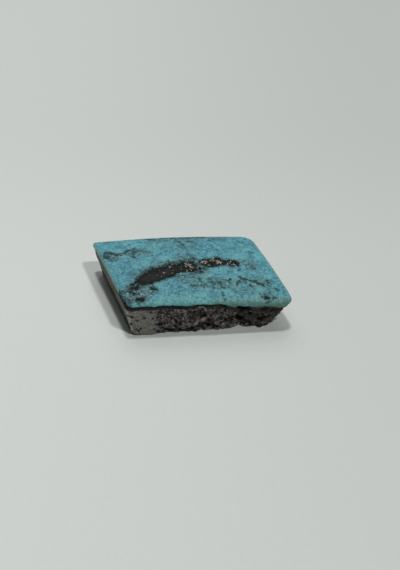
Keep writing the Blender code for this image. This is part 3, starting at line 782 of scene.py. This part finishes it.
def broken_depth(places, shape, worn):
    """Depth of the flakes, chips and cracks at each place that the mask of worn places picks out."""
    depth = np.zeros(len(places))
    for index in np.flatnonzero(worn):
        place = Vector(places[index])
        flakes = flake_depth(place, shape.flake_size, shape.flake_tilt, shape.flake_step)
        chips = flake_depth(
            place, shape.chip_size, CHIP_TILT_SHARE * shape.flake_tilt, CHIP_STEP_SHARE * shape.flake_step
        )
        depth[index] = flakes + chips + crack_depth(place, shape.crack_size, shape.crack_depth)
    return depth * between((shape.ground_share, 1.0), broken_share(places[:, 0], shape))


def front_spots(places_mm):
    """Places on the front wall as distance along and height, with a little wander for ragged outlines."""
    return np.stack((
        places_mm[:, 0] + FRONT_WANDER * noise_at(places_mm, FRONT_WANDER_SIZE, LEAN_PATTERN),
        places_mm[:, 2] + FRONT_WANDER * noise_at(places_mm, FRONT_WANDER_SIZE, STEP_PATTERN),
    ), axis=1)


def front_depth(places_mm):
    """Depth of the front wall's own crevices and pits, less its ridges, in mm."""
    spots = front_spots(places_mm)
    depth = cut_depth(spots, FRONT_CREVICES, CREVICE_EDGE)
    depth -= cut_depth(spots, FRONT_RIDGES, RIDGE_EDGE)
    depth += cut_depth(places_mm[:, ::2], GROUND_PITS, PIT_EDGE)
    return fade("front relief", places_mm[:, 1]) * depth


def matrix_away(places_mm):
    """How far each place lies outside the matrix of the polished face, in mm."""
    nearest = np.full(len(places_mm), np.inf)
    for stroke in MATRIX_STROKES:
        nearest = np.minimum(nearest, outside_stroke(places_mm[:, :2], stroke))
    return nearest


def wear_rock(stone, shape):
    """Gives the walls their small flakes, cracks and pits, and sinks the rind and the matrix."""
    places, normals = read_points(stone.data)
    places_mm = places / MM
    above = above_rind(places_mm)
    rock = fade("rock", above)
    wall = fade("wall", np.linalg.norm(normals[:, :2], axis=1))
    depth = broken_depth(places, shape, rock * wall > 0.0) + MM * front_depth(places_mm)
    depth *= rock * wall
    in_rind = fade("rind foot", above * MM / shape.rind_width) * fade("rind top", above)
    depth += shape.rind_depth * in_rind * wall
    depth += shape.matrix_depth * fade("matrix", matrix_away(places_mm)) * (1 - wall)
    lowest = places[:, 2].min()
    inward = -normals * depth[:, None]
    inward[:, 2] *= np.where(wall > 0.5, WALL_DROP_SHARE, 1.0)
    places = places + inward
    places[:, 2] = np.maximum(places[:, 2], lowest)
    write_places(stone.data, places)


def polish_face(stone, shape):
    """Smooths the polished face and its rounded rim, and leaves the rock alone."""
    places, normals = read_points(stone.data)
    weights = fade("polish", above_rind(places / MM)) * (normals[:, 2] > UNDERSIDE_NORMAL)
    group = stone.vertex_groups.new(name="polished")
    for index in np.flatnonzero(weights > 0.0):
        group.add([int(index)], float(weights[index]), "REPLACE")
    apply_modifier(
        stone, "SMOOTH", "hand polish", factor=0.5, iterations=shape.polish_passes, vertex_group="polished"
    )
    stone.vertex_groups.clear()


def hollow_depth(mesh, places, normals):
    """How deep each point lies under the even surface round it, in mm; less than nothing on a ridge."""
    pairs = np.empty(len(mesh.edges) * 2, dtype=np.int64)
    mesh.edges.foreach_get("vertices", pairs)
    evened = even_out(places, pairs.reshape(-1, 2), EVENING_PASSES)
    return np.einsum("ij,ij->i", evened - places, normals) / MM


def mark_stone(stone, shape):
    """Stores the masks that the stone's material reads, in mm or as shares from 0 to 1."""
    mesh = stone.data
    places, normals = read_points(mesh)
    places_mm = places / MM
    from_above, from_front = places_mm[:, :2], places_mm[:, ::2]
    above = above_rind(places_mm)
    back, right, _, left = inside_rim(from_above)
    masks = {
        "matrix_away": np.clip(matrix_away(places_mm), -MASK_REACH, MASK_REACH),
        "above_rind": np.clip(above, -MASK_REACH, MASK_REACH),
        "rim": rim_share(from_above),
        "edge": fade("dark edge", np.minimum(back, right)),
        "worn": fade("left rim highlight", left),
        "broken": broken_share(places[:, 0], shape),
        "hollow": hollow_depth(mesh, places, normals),
    }
    for name, (softness, marks) in FACE_MARKS.items():
        masks[name] = soft_marks(from_above, marks, softness)
    on_front = fade("front colours", places_mm[:, 1])
    for name, (softness, marks) in FRONT_MARKS.items():
        masks[name] = on_front * soft_marks(from_front, marks, softness)
    at_front = places_mm[:, 1] < FRONT_FACE
    masks["corner"] *= at_front
    masks["pyrite"] = np.where(above > 0.0, masks["pyrite"], at_front * masks.pop("front_pyrite"))
    # Painted shade: the foot of the left wall is darkened through the pit mask.
    left_foot = fade("left wall", -normals[:, 0]) * fade("low left", places_mm[:, 2])
    masks["pit"] = np.maximum(masks["pit"], FOOT_SHADE * left_foot)
    for name, values in masks.items():
        write_mask(mesh, name, values)


class NodeBench:
    """Adds shader nodes to one tree and wires them up as it goes."""

    def __init__(self, tree):
        self.tree = tree

    def add(self, kind, inputs=(), **settings):
        """One node; inputs are pairs of a socket's name or number and a value or another node's output."""
        node = self.tree.nodes.new(kind)
        for key, value in settings.items():
            setattr(node, key, value)
        for key, value in inputs:
            self.feed(node.inputs[key], value)
        return node

    def feed(self, socket, value):
        if isinstance(value, bpy.types.NodeSocket):
            self.tree.links.new(value, socket)
        else:
            socket.default_value = value

    def group(self, tree, *inputs):
        """A node group placed with its own values; returns its outputs."""
        return self.add("ShaderNodeGroup", inputs, node_tree=tree).outputs

    def maths(self, operation, first, second, third=0.0):
        inputs = ((0, first), (1, second), (2, third))
        return self.add("ShaderNodeMath", inputs, operation=operation).outputs[0]

    def vectors(self, operation, first, second):
        return self.add("ShaderNodeVectorMath", ((0, first), (1, second)), operation=operation).outputs[0]

    def scale_vector(self, vector, share):
        inputs = ((0, vector), ("Scale", share))
        return self.add("ShaderNodeVectorMath", inputs, operation="SCALE").outputs[0]

    def times(self, first, second):
        return self.maths("MULTIPLY", first, second)

    def weigh(self, *parts, start=0.0):
        """Adds up values, each times its own weight, from a start."""
        total = start
        for value, weight in parts:
            total = self.maths("MULTIPLY_ADD", value, weight, total)
        return total

    def span(self, value, low, high, start=0.0, stop=1.0):
        """Takes value from the span low to high to the span start to stop, with soft ends."""
        inputs = (("Value", value), ("From Min", low), ("From Max", high),
                  ("To Min", start), ("To Max", stop))
        return self.add("ShaderNodeMapRange", inputs, interpolation_type="SMOOTHSTEP").outputs["Result"]

    def mix(self, share, first, second):
        """Blends two colours."""
        inputs = ((0, share), (6, first), (7, second))
        return self.add("ShaderNodeMix", inputs, data_type="RGBA").outputs[2]

    def paint(self, colour, *coats):
        """Lays coats over a colour; a coat is how much of it shows, then its own colour."""
        for share, coat in coats:
            colour = self.mix(share, colour, coat)
        return colour


class MaterialBench(NodeBench):
    """A material's bench, with the stone's masks and the shared patterns at hand, in millimetres."""

    def __init__(self, tree):
        super().__init__(tree)
        coordinates = self.add("ShaderNodeTexCoord").outputs["Object"]
        inputs = (("Vector", coordinates), ("Scale", (1 / MM, 1 / MM, 1 / MM)))
        self.place = self.add("ShaderNodeMapping", inputs).outputs["Vector"]

    def axis(self, name):
        """The place along one axis."""
        return self.add("ShaderNodeSeparateXYZ", (("Vector", self.place),)).outputs[name]

    def slanted(self, turn, stretch):
        """The place for a slanting pattern, turned by these degrees and drawn out along its axes."""
        turn = [math.radians(angle) for angle in turn]
        inputs = (("Vector", self.place), ("Rotation", turn), ("Scale", stretch))
        return self.add("ShaderNodeMapping", inputs, vector_type="TEXTURE").outputs["Vector"]

    def mask(self, name):
        """A number stored at the mesh's points."""
        return self.add("ShaderNodeAttribute", attribute_name=name).outputs["Fac"]

    def ramp(self, name, value):
        """The value on the soft ramp that RAMPS holds under this name."""
        return self.span(value, *RAMPS[name])

    def cover(self, name, value=None):
        """A value, or the stone's mask of this name, times the share that COVER gives it."""
        return self.times(self.mask(name) if value is None else value, COVER[name])

    def blend(self, name, *values):
        """The values, each times its own weight, added to a start; BLENDS holds start and weights."""
        start, *weights = BLENDS[name]
        return self.weigh(*zip(values, weights), start=start)

    def pattern(self, name, *more):
        """A shared pattern with the values that PATTERNS gives, and more inputs as pairs."""
        group, *values = PATTERNS[name]
        inputs = (("Place", self.place), *zip(PATTERN_INPUTS[group], values), *more)
        return self.group(shared_group(group), *inputs)[0]


def new_group(name, output, **numbers):
    """A shader node group that draws a pattern at a place in a size, with more numbers as inputs.

    Returns its bench, its inputs, its output and the scale that gives a texture the size.
    """
    tree = bpy.data.node_groups.new(name, "ShaderNodeTree")
    tree.interface.new_socket(name="Place", in_out="INPUT", socket_type="NodeSocketVector")
    for number, default in {"Size": 1.0, **numbers}.items():
        socket = tree.interface.new_socket(name=number, in_out="INPUT", socket_type="NodeSocketFloat")
        socket.default_value = default
    tree.interface.new_socket(name=output, in_out="OUTPUT", socket_type="NodeSocketFloat")
    bench = NodeBench(tree)
    given = bench.add("NodeGroupInput").outputs
    result = bench.add("NodeGroupOutput").inputs[output]
    return bench, given, result, bench.maths("DIVIDE", 1.0, given["Size"])


def make_mottle_group():
    """Cloudy patches from 0 to 1, stronger with more contrast."""
    bench, given, result, scale = new_group("Mottle", "Value", Contrast=1.0, Shift=0.0)
    inputs = (("Vector", given["Place"]), ("W", given["Shift"]), ("Scale", scale),
              ("Detail", 3.0), ("Roughness", 0.6))
    cloud = bench.add("ShaderNodeTexNoise", inputs, noise_dimensions="4D").outputs["Fac"]
    centred = bench.maths("SUBTRACT", cloud, 0.5)
    inputs = ((0, centred), (1, given["Contrast"]), (2, 0.5))
    value = bench.add("ShaderNodeMath", inputs, operation="MULTIPLY_ADD", use_clamp=True).outputs[0]
    bench.feed(result, value)
    return bench.tree


def make_ragged_group(mottle):
    """A crisp mask, 1 short of a line, whose edge wanders to and fro over it."""
    bench, given, result, _ = new_group("Ragged Edge", "Mask", Away=0.0, Line=0.0, Wander=0.2, Softness=0.1)
    wave = bench.group(mottle, ("Place", given["Place"]), ("Size", given["Size"]), ("Contrast", 2.0))
    shift = bench.maths("SUBTRACT", wave["Value"], 0.5)
    away = bench.maths("SUBTRACT", given["Away"], given["Line"])
    away = bench.weigh((shift, bench.times(given["Wander"], 2.0)), start=away)
    inner = bench.times(given["Softness"], -1.0)
    bench.feed(result, bench.span(away, inner, given["Softness"], 1.0, 0.0))


def make_specks_group():
    """Small round specks in a share of their places."""
    bench, given, result, scale = new_group("Specks", "Mask", Share=0.2)
    cells = bench.add("ShaderNodeTexVoronoi", (("Vector", given["Place"]), ("Scale", scale))).outputs
    draw = bench.add("ShaderNodeSeparateColor", (("Color", cells["Color"]),)).outputs["Red"]
    shown = bench.maths("LESS_THAN", draw, given["Share"])
    bench.feed(result, bench.times(shown, bench.span(cells["Distance"], *SPECK_EDGE, 1.0, 0.0)))


def wandering_cells(bench, given, scale, wander, **settings):
    """A Voronoi pattern in a group, its cells pushed about by noise of the same size."""
    waves = bench.add("ShaderNodeTexNoise", (("Vector", given["Place"]), ("Scale", scale), ("Detail", 4.0)))
    centred = bench.vectors("SUBTRACT", waves.outputs["Color"], (0.5, 0.5, 0.5))
    shift = bench.scale_vector(centred, bench.times(given["Size"], wander))
    place = bench.vectors("ADD", given["Place"], shift)
    return bench.add("ShaderNodeTexVoronoi", (("Vector", place), ("Scale", scale)), **settings).outputs


def make_crackle_group(mottle):
    """Thin ragged lines between cells, with gaps in them."""
    bench, given, result, scale = new_group("Crackle", "Mask", Width=0.1, Gaps=0.5)
    cells = wandering_cells(bench, given, scale, CRACKLE_WANDER, feature="DISTANCE_TO_EDGE")
    line = bench.span(cells["Distance"], 0.0, given["Width"], 1.0, 0.0)
    inputs = (("Place", given["Place"]), ("Size", given["Size"]), ("Contrast", 3.0), ("Shift", GAP_SHIFT))
    gate = bench.group(mottle, *inputs)["Value"]
    shown = bench.span(gate, given["Gaps"], bench.maths("ADD", given["Gaps"], GAP_SOFTNESS))
    bench.feed(result, bench.times(line, shown))


def make_chips_group():
    """Flat chips, with a random shade from 0 to 1 for each."""
    bench, given, result, scale = new_group("Chips", "Shade")
    cells = wandering_cells(bench, given, scale, CHIP_WANDER)
    bench.feed(result, bench.add("ShaderNodeSeparateColor", (("Color", cells["Color"]),)).outputs["Blue"])


def shared_group(name):
    """One of the node groups that the materials share; all of them are built at the first call."""
    if name not in bpy.data.node_groups:
        mottle = make_mottle_group()
        make_ragged_group(mottle)
        make_crackle_group(mottle)
        make_specks_group()
        make_chips_group()
    return bpy.data.node_groups[name]


def new_material(name):
    """A material with a Principled shader; returns it, its bench and the shader."""
    material = bpy.data.materials.new(name)
    material.use_nodes = True
    bench = MaterialBench(material.node_tree)
    return material, bench, material.node_tree.nodes["Principled BSDF"]


def plain_turquoise(bench, colours):
    """Mottled blue with greener patches and slanting streaks; also how pale it is here."""
    fine = bench.pattern("fine clouds")
    tone = bench.blend("tone", bench.pattern("clouds"), bench.pattern("broad clouds"), fine)
    tone = bench.maths("SUBTRACT", tone, bench.ramp("duller front", bench.axis("Y")))
    tone = bench.maths("ADD", tone, bench.ramp("paler left", bench.axis("X")))
    blue = bench.mix(bench.ramp("blue", tone), colours.turquoise_deep, colours.turquoise_pale)
    streaks = bench.ramp("streaks", bench.pattern("streaks", ("Place", bench.slanted(*STREAK_SLANT))))
    green = bench.ramp("green", bench.pattern("green patches"))
    rim = bench.times(bench.mask("rim"), bench.ramp("rim grain", fine))
    pale_green = bench.mix(bench.cover("pale green", tone), colours.turquoise_green, colours.turquoise_pale)
    olive = bench.times(bench.mask("olive"), bench.ramp("olive grain", fine))
    colour = bench.paint(
        blue,
        (streaks, colours.turquoise_deep),
        (bench.maths("MAXIMUM", green, rim), pale_green),
        (olive, colours.olive),
        # Painted highlight along the left rim.
        (bench.cover("worn"), colours.worn),
        (bench.cover("edge"), colours.edge),
    )
    return colour, tone


def mottled_colour(bench, colours, plain):
    """Blue-grey stone with pale flecks, threaded with dark matrix, where the corner is mottled; the same
    flecks, thinly strewn over the face and more along the rim, are painted glints.
    """
    mottled = bench.mask("mottled")
    fleck_share = bench.blend("flecks", bench.mask("rim"), mottled)
    flecks = bench.pattern("flecks", ("Share", fleck_share))
    blots = bench.ramp("blots", bench.pattern("blots"))
    lines = bench.cover("threads", bench.pattern("thread lines"))
    threads = bench.times(bench.maths("MAXIMUM", blots, lines), bench.ramp("threads", mottled))
    return bench.paint(
        plain,
        (bench.cover("mottled", mottled), colours.turquoise_grey),
        (bench.cover("flecks", flecks), colours.fleck_and_glint),
        (threads, colours.thread),
    )


def turquoise_colour(bench, colours):
    """The polished turquoise with its clouding, mottled corner and veins, and the halo of its matrix."""
    plain, tone = plain_turquoise(bench, colours)
    cloud = bench.mask("cloud")
    clouding = bench.times(cloud, bench.ramp("clouding", bench.pattern("clouding")))
    cracks = bench.times(bench.pattern("clouded cracks"), bench.blend("clouded cracks", cloud))
    colour = bench.paint(plain, (clouding, colours.turquoise_grey), (cracks, colours.vein))
    colour = mottled_colour(bench, colours, colour)
    grain = bench.pattern("vein grain")
    veins = bench.times(bench.mask("vein"), bench.maths("ADD", grain, VEIN_FLOOR))
    centred = bench.maths("SUBTRACT", grain, 0.5)
    halo = bench.weigh((centred, -HALO_WANDER), start=bench.mask("matrix_away"))
    veined = bench.mix(bench.ramp("veins", veins), colour, colours.vein)
    return bench.mix(bench.ramp("halo", halo), veined, colours.halo), tone


def rock_colour(bench, colours):
    """Ground rock at the left end, broken rock elsewhere, with painted shade in its pits, hollows and foot
    and painted highlight on its ridges and edges.
    """
    slanting = bench.slanted(*ROCK_SLANT)
    speckle = bench.pattern("speckle", ("Place", slanting))
    patch = bench.pattern("rock patches")
    chips = bench.pattern("chips", ("Place", slanting))
    hollow = bench.mask("hollow")
    dark = bench.mask("dark")
    # Painted highlight on ridges; the pale and dark masks also carry painted highlight and painted shade.
    ridge_highlight = bench.ramp("ridge_highlight", hollow)
    lit = bench.blend("lit rock", ridge_highlight, speckle, patch, chips, bench.mask("pale"), dark)
    broken = bench.paint(
        bench.mix(bench.ramp("lit rock", lit), colours.rock_dark, colours.rock_pale),
        (bench.cover("dark", dark), colours.rind),
        (bench.cover("cracks", bench.pattern("rock cracks")), colours.rock_pit_and_shade),
    )
    ground_tone = bench.blend("ground", speckle, patch)
    ground = bench.paint(
        bench.mix(bench.ramp("ground", ground_tone), colours.rock_dark, colours.rock_ground),
        # Painted highlight on the front left corner, painted shade in the pits and at the foot of the left
        # wall.
        (bench.cover("corner"), colours.rock_edge_highlight),
        (bench.mask("pit"), colours.rock_pit_and_shade),
    )
    rock = bench.mix(bench.mask("broken"), ground, broken)
    # Painted shade: hollows are darkened.
    return bench.mix(bench.ramp("hollow", hollow), rock, colours.rock_pit_and_shade)


def matrix_colour(bench, colours):
    """The matrix bands, black at their rims and speckled and browner inside; also where they show."""
    away = bench.mask("matrix_away")
    brown = bench.times(bench.mask("brown"), bench.pattern("inside matrix", ("Away", away)))
    speckled = bench.ramp("matrix", bench.pattern("matrix grain"))
    brown = bench.maths("MAXIMUM", speckled, brown)
    edge = bench.pattern("matrix edge", ("Away", away))
    return bench.mix(brown, colours.matrix_black, colours.matrix_brown), edge


def wall_colour(bench, colours, above):
    """The host rock, and over it the rind, brown below and black or olive above."""
    rind = bench.mix(bench.mask("olive"), colours.rind, colours.rind_olive)
    return bench.paint(
        rind,
        (bench.pattern("black rind edge", ("Away", above)), colours.rind_brown),
        (bench.pattern("brown rind edge", ("Away", above)), rock_colour(bench, colours)),
    )


def make_stone_material(colours):
    """The whole stone: polished turquoise, its matrix bands, the black rind and the host rock."""
    material, bench, shader = new_material("turquoise stone")
    above = bench.mask("above_rind")
    turquoise, tone = turquoise_colour(bench, colours)
    dark, matrix = matrix_colour(bench, colours)
    on_rock = bench.pattern("rock edge", ("Away", above))
    bed = bench.maths("MAXIMUM", matrix, on_rock)
    # Pyrite glitter, its bright colour a painted glint.
    gold = bench.times(bench.pattern("glitter", ("Share", bench.cover("pyrite"))), bed)
    colour = bench.paint(
        turquoise,
        (matrix, dark),
        (on_rock, wall_colour(bench, colours, above)),
        (gold, colours.pyrite),
    )
    polish = bench.span(tone, 0.0, 1.0, *(colours.polish + step for step in POLISH_STEPS))
    dull = bench.maths("MAXIMUM", bench.cover("dull matrix", matrix), on_rock)
    rougher = bench.maths("SUBTRACT", colours.rough_rock, polish)
    roughness = bench.maths("MULTIPLY_ADD", dull, rougher, polish)
    inputs = ((0, gold), (2, roughness), (3, GOLD_ROUGHNESS))
    roughness = bench.add("ShaderNodeMix", inputs, data_type="FLOAT").outputs[0]
    height = bench.times(bench.pattern("grit"), bench.blend("grit", dull))
    bump = bench.add("ShaderNodeBump", (("Height", height), ("Strength", 1.0), ("Distance", GRIT_HEIGHT)))
    bench.feed(shader.inputs["Base Color"], colour)
    bench.feed(shader.inputs["Roughness"], roughness)
    bench.feed(shader.inputs["Metallic"], bench.times(gold, METAL_SHARE))
    bench.feed(shader.inputs["Specular IOR Level"], colours.shine)
    bench.feed(shader.inputs["Normal"], bump.outputs["Normal"])
    return material


def make_pyrite_material(colours):
    """Pale brassy pyrite, a little tarnished; its near-white colour is a painted glint."""
    material, bench, shader = new_material("pyrite")
    inputs = (("Vector", bench.place), ("Scale", 2.5), ("Detail", 2.0))
    tarnish = bench.add("ShaderNodeTexNoise", inputs).outputs["Fac"]
    dulled = [TARNISH_SHADE * part for part in colours.pyrite[:3]] + [1.0]
    colour = bench.mix(bench.ramp("tarnish", tarnish), colours.pyrite, dulled)
    bench.feed(shader.inputs["Base Color"], colour)
    bench.feed(shader.inputs["Roughness"], bench.ramp("tarnish roughness", tarnish))
    bench.feed(shader.inputs["Metallic"], METAL_SHARE)
    return material


def make_floor_material(colour):
    """Matt pale table top with a faint grain, and painted light falling off across it: a little paler on
    the left and darker behind.
    """
    material, bench, shader = new_material("pale table")
    grain = bench.ramp("table grain", bench.pattern("table grain"))
    across = bench.ramp("table from left", bench.axis("X"))
    painted_falloff = bench.times(across, bench.ramp("table from front", bench.axis("Y")))
    bench.feed(shader.inputs["Base Color"], bench.scale_vector(colour[:3], bench.times(grain, painted_falloff)))
    bench.feed(shader.inputs["Roughness"], FLOOR_ROUGHNESS)
    return material


class NUGGET_OT_fine_stone(bpy.types.Operator):
    """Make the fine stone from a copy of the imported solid"""

    bl_idname = "nugget.fine_stone"
    bl_label = "Fine Stone"

    def execute(self, context):
        shape = context.scene.nugget_shape
        stone = bpy.data.objects.new("turquoise_stone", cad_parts[NODE].data.copy())
        context.scene.collection.objects.link(stone)
        edit_all(stone, bpy.ops.mesh.remove_doubles, threshold=WELD_DISTANCE)
        even = {"mode": "VOXEL", "voxel_size": shape.mesh_size, "adaptivity": 0.0}
        apply_modifier(stone, "REMESH", "even stone", **even)
        roll_rim(stone)
        shape_foot(stone)
        wear_rock(stone, shape)
        apply_modifier(stone, "REMESH", "even relief", **even)
        polish_face(stone, shape)
        mark_stone(stone, shape)
        stone.data.materials.clear()
        stone.data.materials.append(make_stone_material(context.scene.nugget_colours))
        make_active(stone)
        bpy.ops.object.shade_smooth_by_angle(angle=SHARP_ANGLE)
        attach(stone, "root")
        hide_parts(NODE)
        return {"FINISHED"}


def make_crystal():
    """One small crystal: a cube with its corners cut off, in half widths of a grain."""
    bpy.ops.object.select_all(action="DESELECT")
    bpy.ops.mesh.primitive_cube_add(size=CRYSTAL_WIDTH)
    crystal = bpy.context.object
    edit_all(crystal, bpy.ops.mesh.bevel, offset=CRYSTAL_CORNER, affect="VERTICES")
    return crystal


def strew_places(stone, count, random):
    """Places and normals on the stone for the grains, more where pyrite is thick."""
    places, normals = read_points(stone.data)
    thick = np.empty(len(places), dtype=np.float32)
    stone.data.attributes["pyrite"].data.foreach_get("value", thick)
    likely = thick.astype(float) ** CLUSTERING
    chosen = random.choice(len(places), size=count, replace=False, p=likely / likely.sum())
    return places[chosen], normals[chosen]


def grow_grain(corners, place, normal, sizes, random):
    """One grain's corners: turned at random, stretched, flattened and sunk into the stone."""
    half = between((sizes.smallest, sizes.largest), random.random() ** 2)
    turn = np.linalg.qr(random.normal(size=(3, 3)))[0]
    stretch = between(GRAIN_STRETCH, random.random(3))
    grown = (corners * stretch * half) @ turn.T
    flat = between(GRAIN_FLATNESS, random.random())
    rise = (grown @ normal)[:, None] * normal
    return grown - (1 - flat) * rise + place - normal * half * flat * sizes.sunk


class NUGGET_OT_pyrite_grains(bpy.types.Operator):
    """Strew the pyrite grains over the matrix and the rock"""

    bl_idname = "nugget.pyrite_grains"
    bl_label = "Pyrite Grains"

    def execute(self, context):
        sizes = context.scene.nugget_pyrite
        random = np.random.default_rng(sizes.seed)
        crystal = make_crystal()
        corners = np.array([corner.co for corner in crystal.data.vertices])
        sides = [tuple(side.vertices) for side in crystal.data.polygons]
        bpy.data.objects.remove(crystal)
        all_corners, all_sides = [], []
        stone = bpy.data.objects["turquoise_stone"]
        for place, normal in zip(*strew_places(stone, sizes.count, random)):
            first = len(all_corners)
            all_corners.extend(grow_grain(corners, place, normal, sizes, random))
            all_sides.extend(tuple(first + corner for corner in side) for side in sides)
        mesh = bpy.data.meshes.new("pyrite_grains")
        mesh.from_pydata([tuple(corner) for corner in all_corners], [], all_sides)
        grains = bpy.data.objects.new("pyrite_grains", mesh)
        context.scene.collection.objects.link(grains)
        edit_all(grains, bpy.ops.mesh.normals_make_consistent, inside=False)
        mesh.materials.append(make_pyrite_material(context.scene.nugget_colours))
        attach(grains, "root")
        return {"FINISHED"}


def add_lamp(name, direction, power, distance, size, shape):
    """A lamp that shines at the stone from this direction."""
    light = bpy.data.lights.new(name, "AREA")
    light.shape = shape
    light.size = size
    light.energy = power
    lamp = bpy.data.objects.new(name, light)
    bpy.context.scene.collection.objects.link(lamp)
    towards = Vector(direction).normalized()
    lamp.location = towards * distance
    lamp.rotation_euler = towards.to_track_quat("Z", "Y").to_euler()


def light_room(scene, strength):
    """Even light from all round, and a pale backdrop where the camera sees past the table."""
    world = bpy.data.worlds.new("pale room")
    scene.world = world
    world.use_nodes = True
    world.node_tree.nodes.clear()
    bench = NodeBench(world.node_tree)
    room = bench.add("ShaderNodeBackground", (("Color", (1.0, 1.0, 1.0, 1.0)), ("Strength", strength)))
    inputs = (("Color", BACKDROP_COLOUR), ("Strength", BACKDROP_STRENGTH))
    backdrop = bench.add("ShaderNodeBackground", inputs)
    seen = bench.add("ShaderNodeLightPath").outputs["Is Camera Ray"]
    blend = bench.add("ShaderNodeMixShader", ((0, seen), (1, room.outputs[0]), (2, backdrop.outputs[0])))
    bench.add("ShaderNodeOutputWorld", (("Surface", blend.outputs[0]),))


def add_camera(scene, sizes):
    """The camera at the photo's viewing angle."""
    data = bpy.data.cameras.new("photo_camera")
    data.lens = sizes.lens
    data.clip_start = NEAREST_SEEN
    camera = bpy.data.objects.new("photo_camera", data)
    scene.collection.objects.link(camera)
    rise = sizes.camera_elevation
    back = Vector((0.0, -math.cos(rise), math.sin(rise)))
    camera.location = Vector(sizes.camera_aim) + back * sizes.camera_distance
    camera.rotation_euler = (math.pi / 2 - rise, 0.0, 0.0)
    scene.camera = camera


class NUGGET_OT_stage(bpy.types.Operator):
    """Set up the pale table, the lamps and the camera"""

    bl_idname = "nugget.stage"
    bl_label = "Stage"

    def execute(self, context):
        scene = context.scene
        sizes = scene.nugget_stage
        bpy.ops.object.select_all(action="DESELECT")
        bpy.ops.mesh.primitive_plane_add(size=sizes.floor_size, location=(0.0, 0.0, FLOOR_HEIGHT))
        floor = context.object
        floor.name = "pale_table"
        bpy.ops.object.transform_apply(location=True)
        floor.data.materials.append(make_floor_material(sizes.floor_colour))
        for name, direction, power, kind, shape in LAMPS:
            distance = getattr(sizes, f"{kind}_distance")
            width = getattr(sizes, f"{kind}_size")
            add_lamp(name, direction, getattr(sizes, power), distance, width, shape)
        light_room(scene, sizes.room_light)
        add_camera(scene, sizes)
        scene.view_settings.view_transform = "Standard"
        return {"FINISHED"}


class NUGGET_PT_sidebar(bpy.types.Panel):
    """Lists the nugget's pieces and its stage"""

    bl_label = "Turquoise Nugget"
    bl_space_type = "VIEW_3D"
    bl_region_type = "UI"
    bl_category = "Nugget"

    def draw(self, context):
        for operator in OPERATORS:
            self.layout.operator(operator.bl_idname)
        for name in SETTINGS:
            box = self.layout.box()
            settings = getattr(context.scene, name)
            # The first two properties of every group are its type and its name.
            for field in settings.bl_rna.properties.keys()[2:]:
                box.prop(settings, field)


OPERATORS = (NUGGET_OT_fine_stone, NUGGET_OT_pyrite_grains, NUGGET_OT_stage)
SETTINGS = {
    "nugget_shape": NuggetShape,
    "nugget_colours": NuggetColours,
    "nugget_pyrite": PyriteSizes,
    "nugget_stage": StageSizes,
}


def register():
    for group in SETTINGS.values():
        bpy.utils.register_class(group)
    for name, group in SETTINGS.items():
        setattr(bpy.types.Scene, name, bpy.props.PointerProperty(type=group))
    for kind in (*OPERATORS, NUGGET_PT_sidebar):
        bpy.utils.register_class(kind)


def unregister():
    for kind in (NUGGET_PT_sidebar, *reversed(OPERATORS)):
        bpy.utils.unregister_class(kind)
    for name, group in SETTINGS.items():
        delattr(bpy.types.Scene, name)
        bpy.utils.unregister_class(group)


def main():
    """Makes every piece and the stage."""
    register()
    bpy.ops.nugget.fine_stone()
    bpy.ops.nugget.pyrite_grains()
    bpy.ops.nugget.stage()


if __name__ == "__main__":
    main()
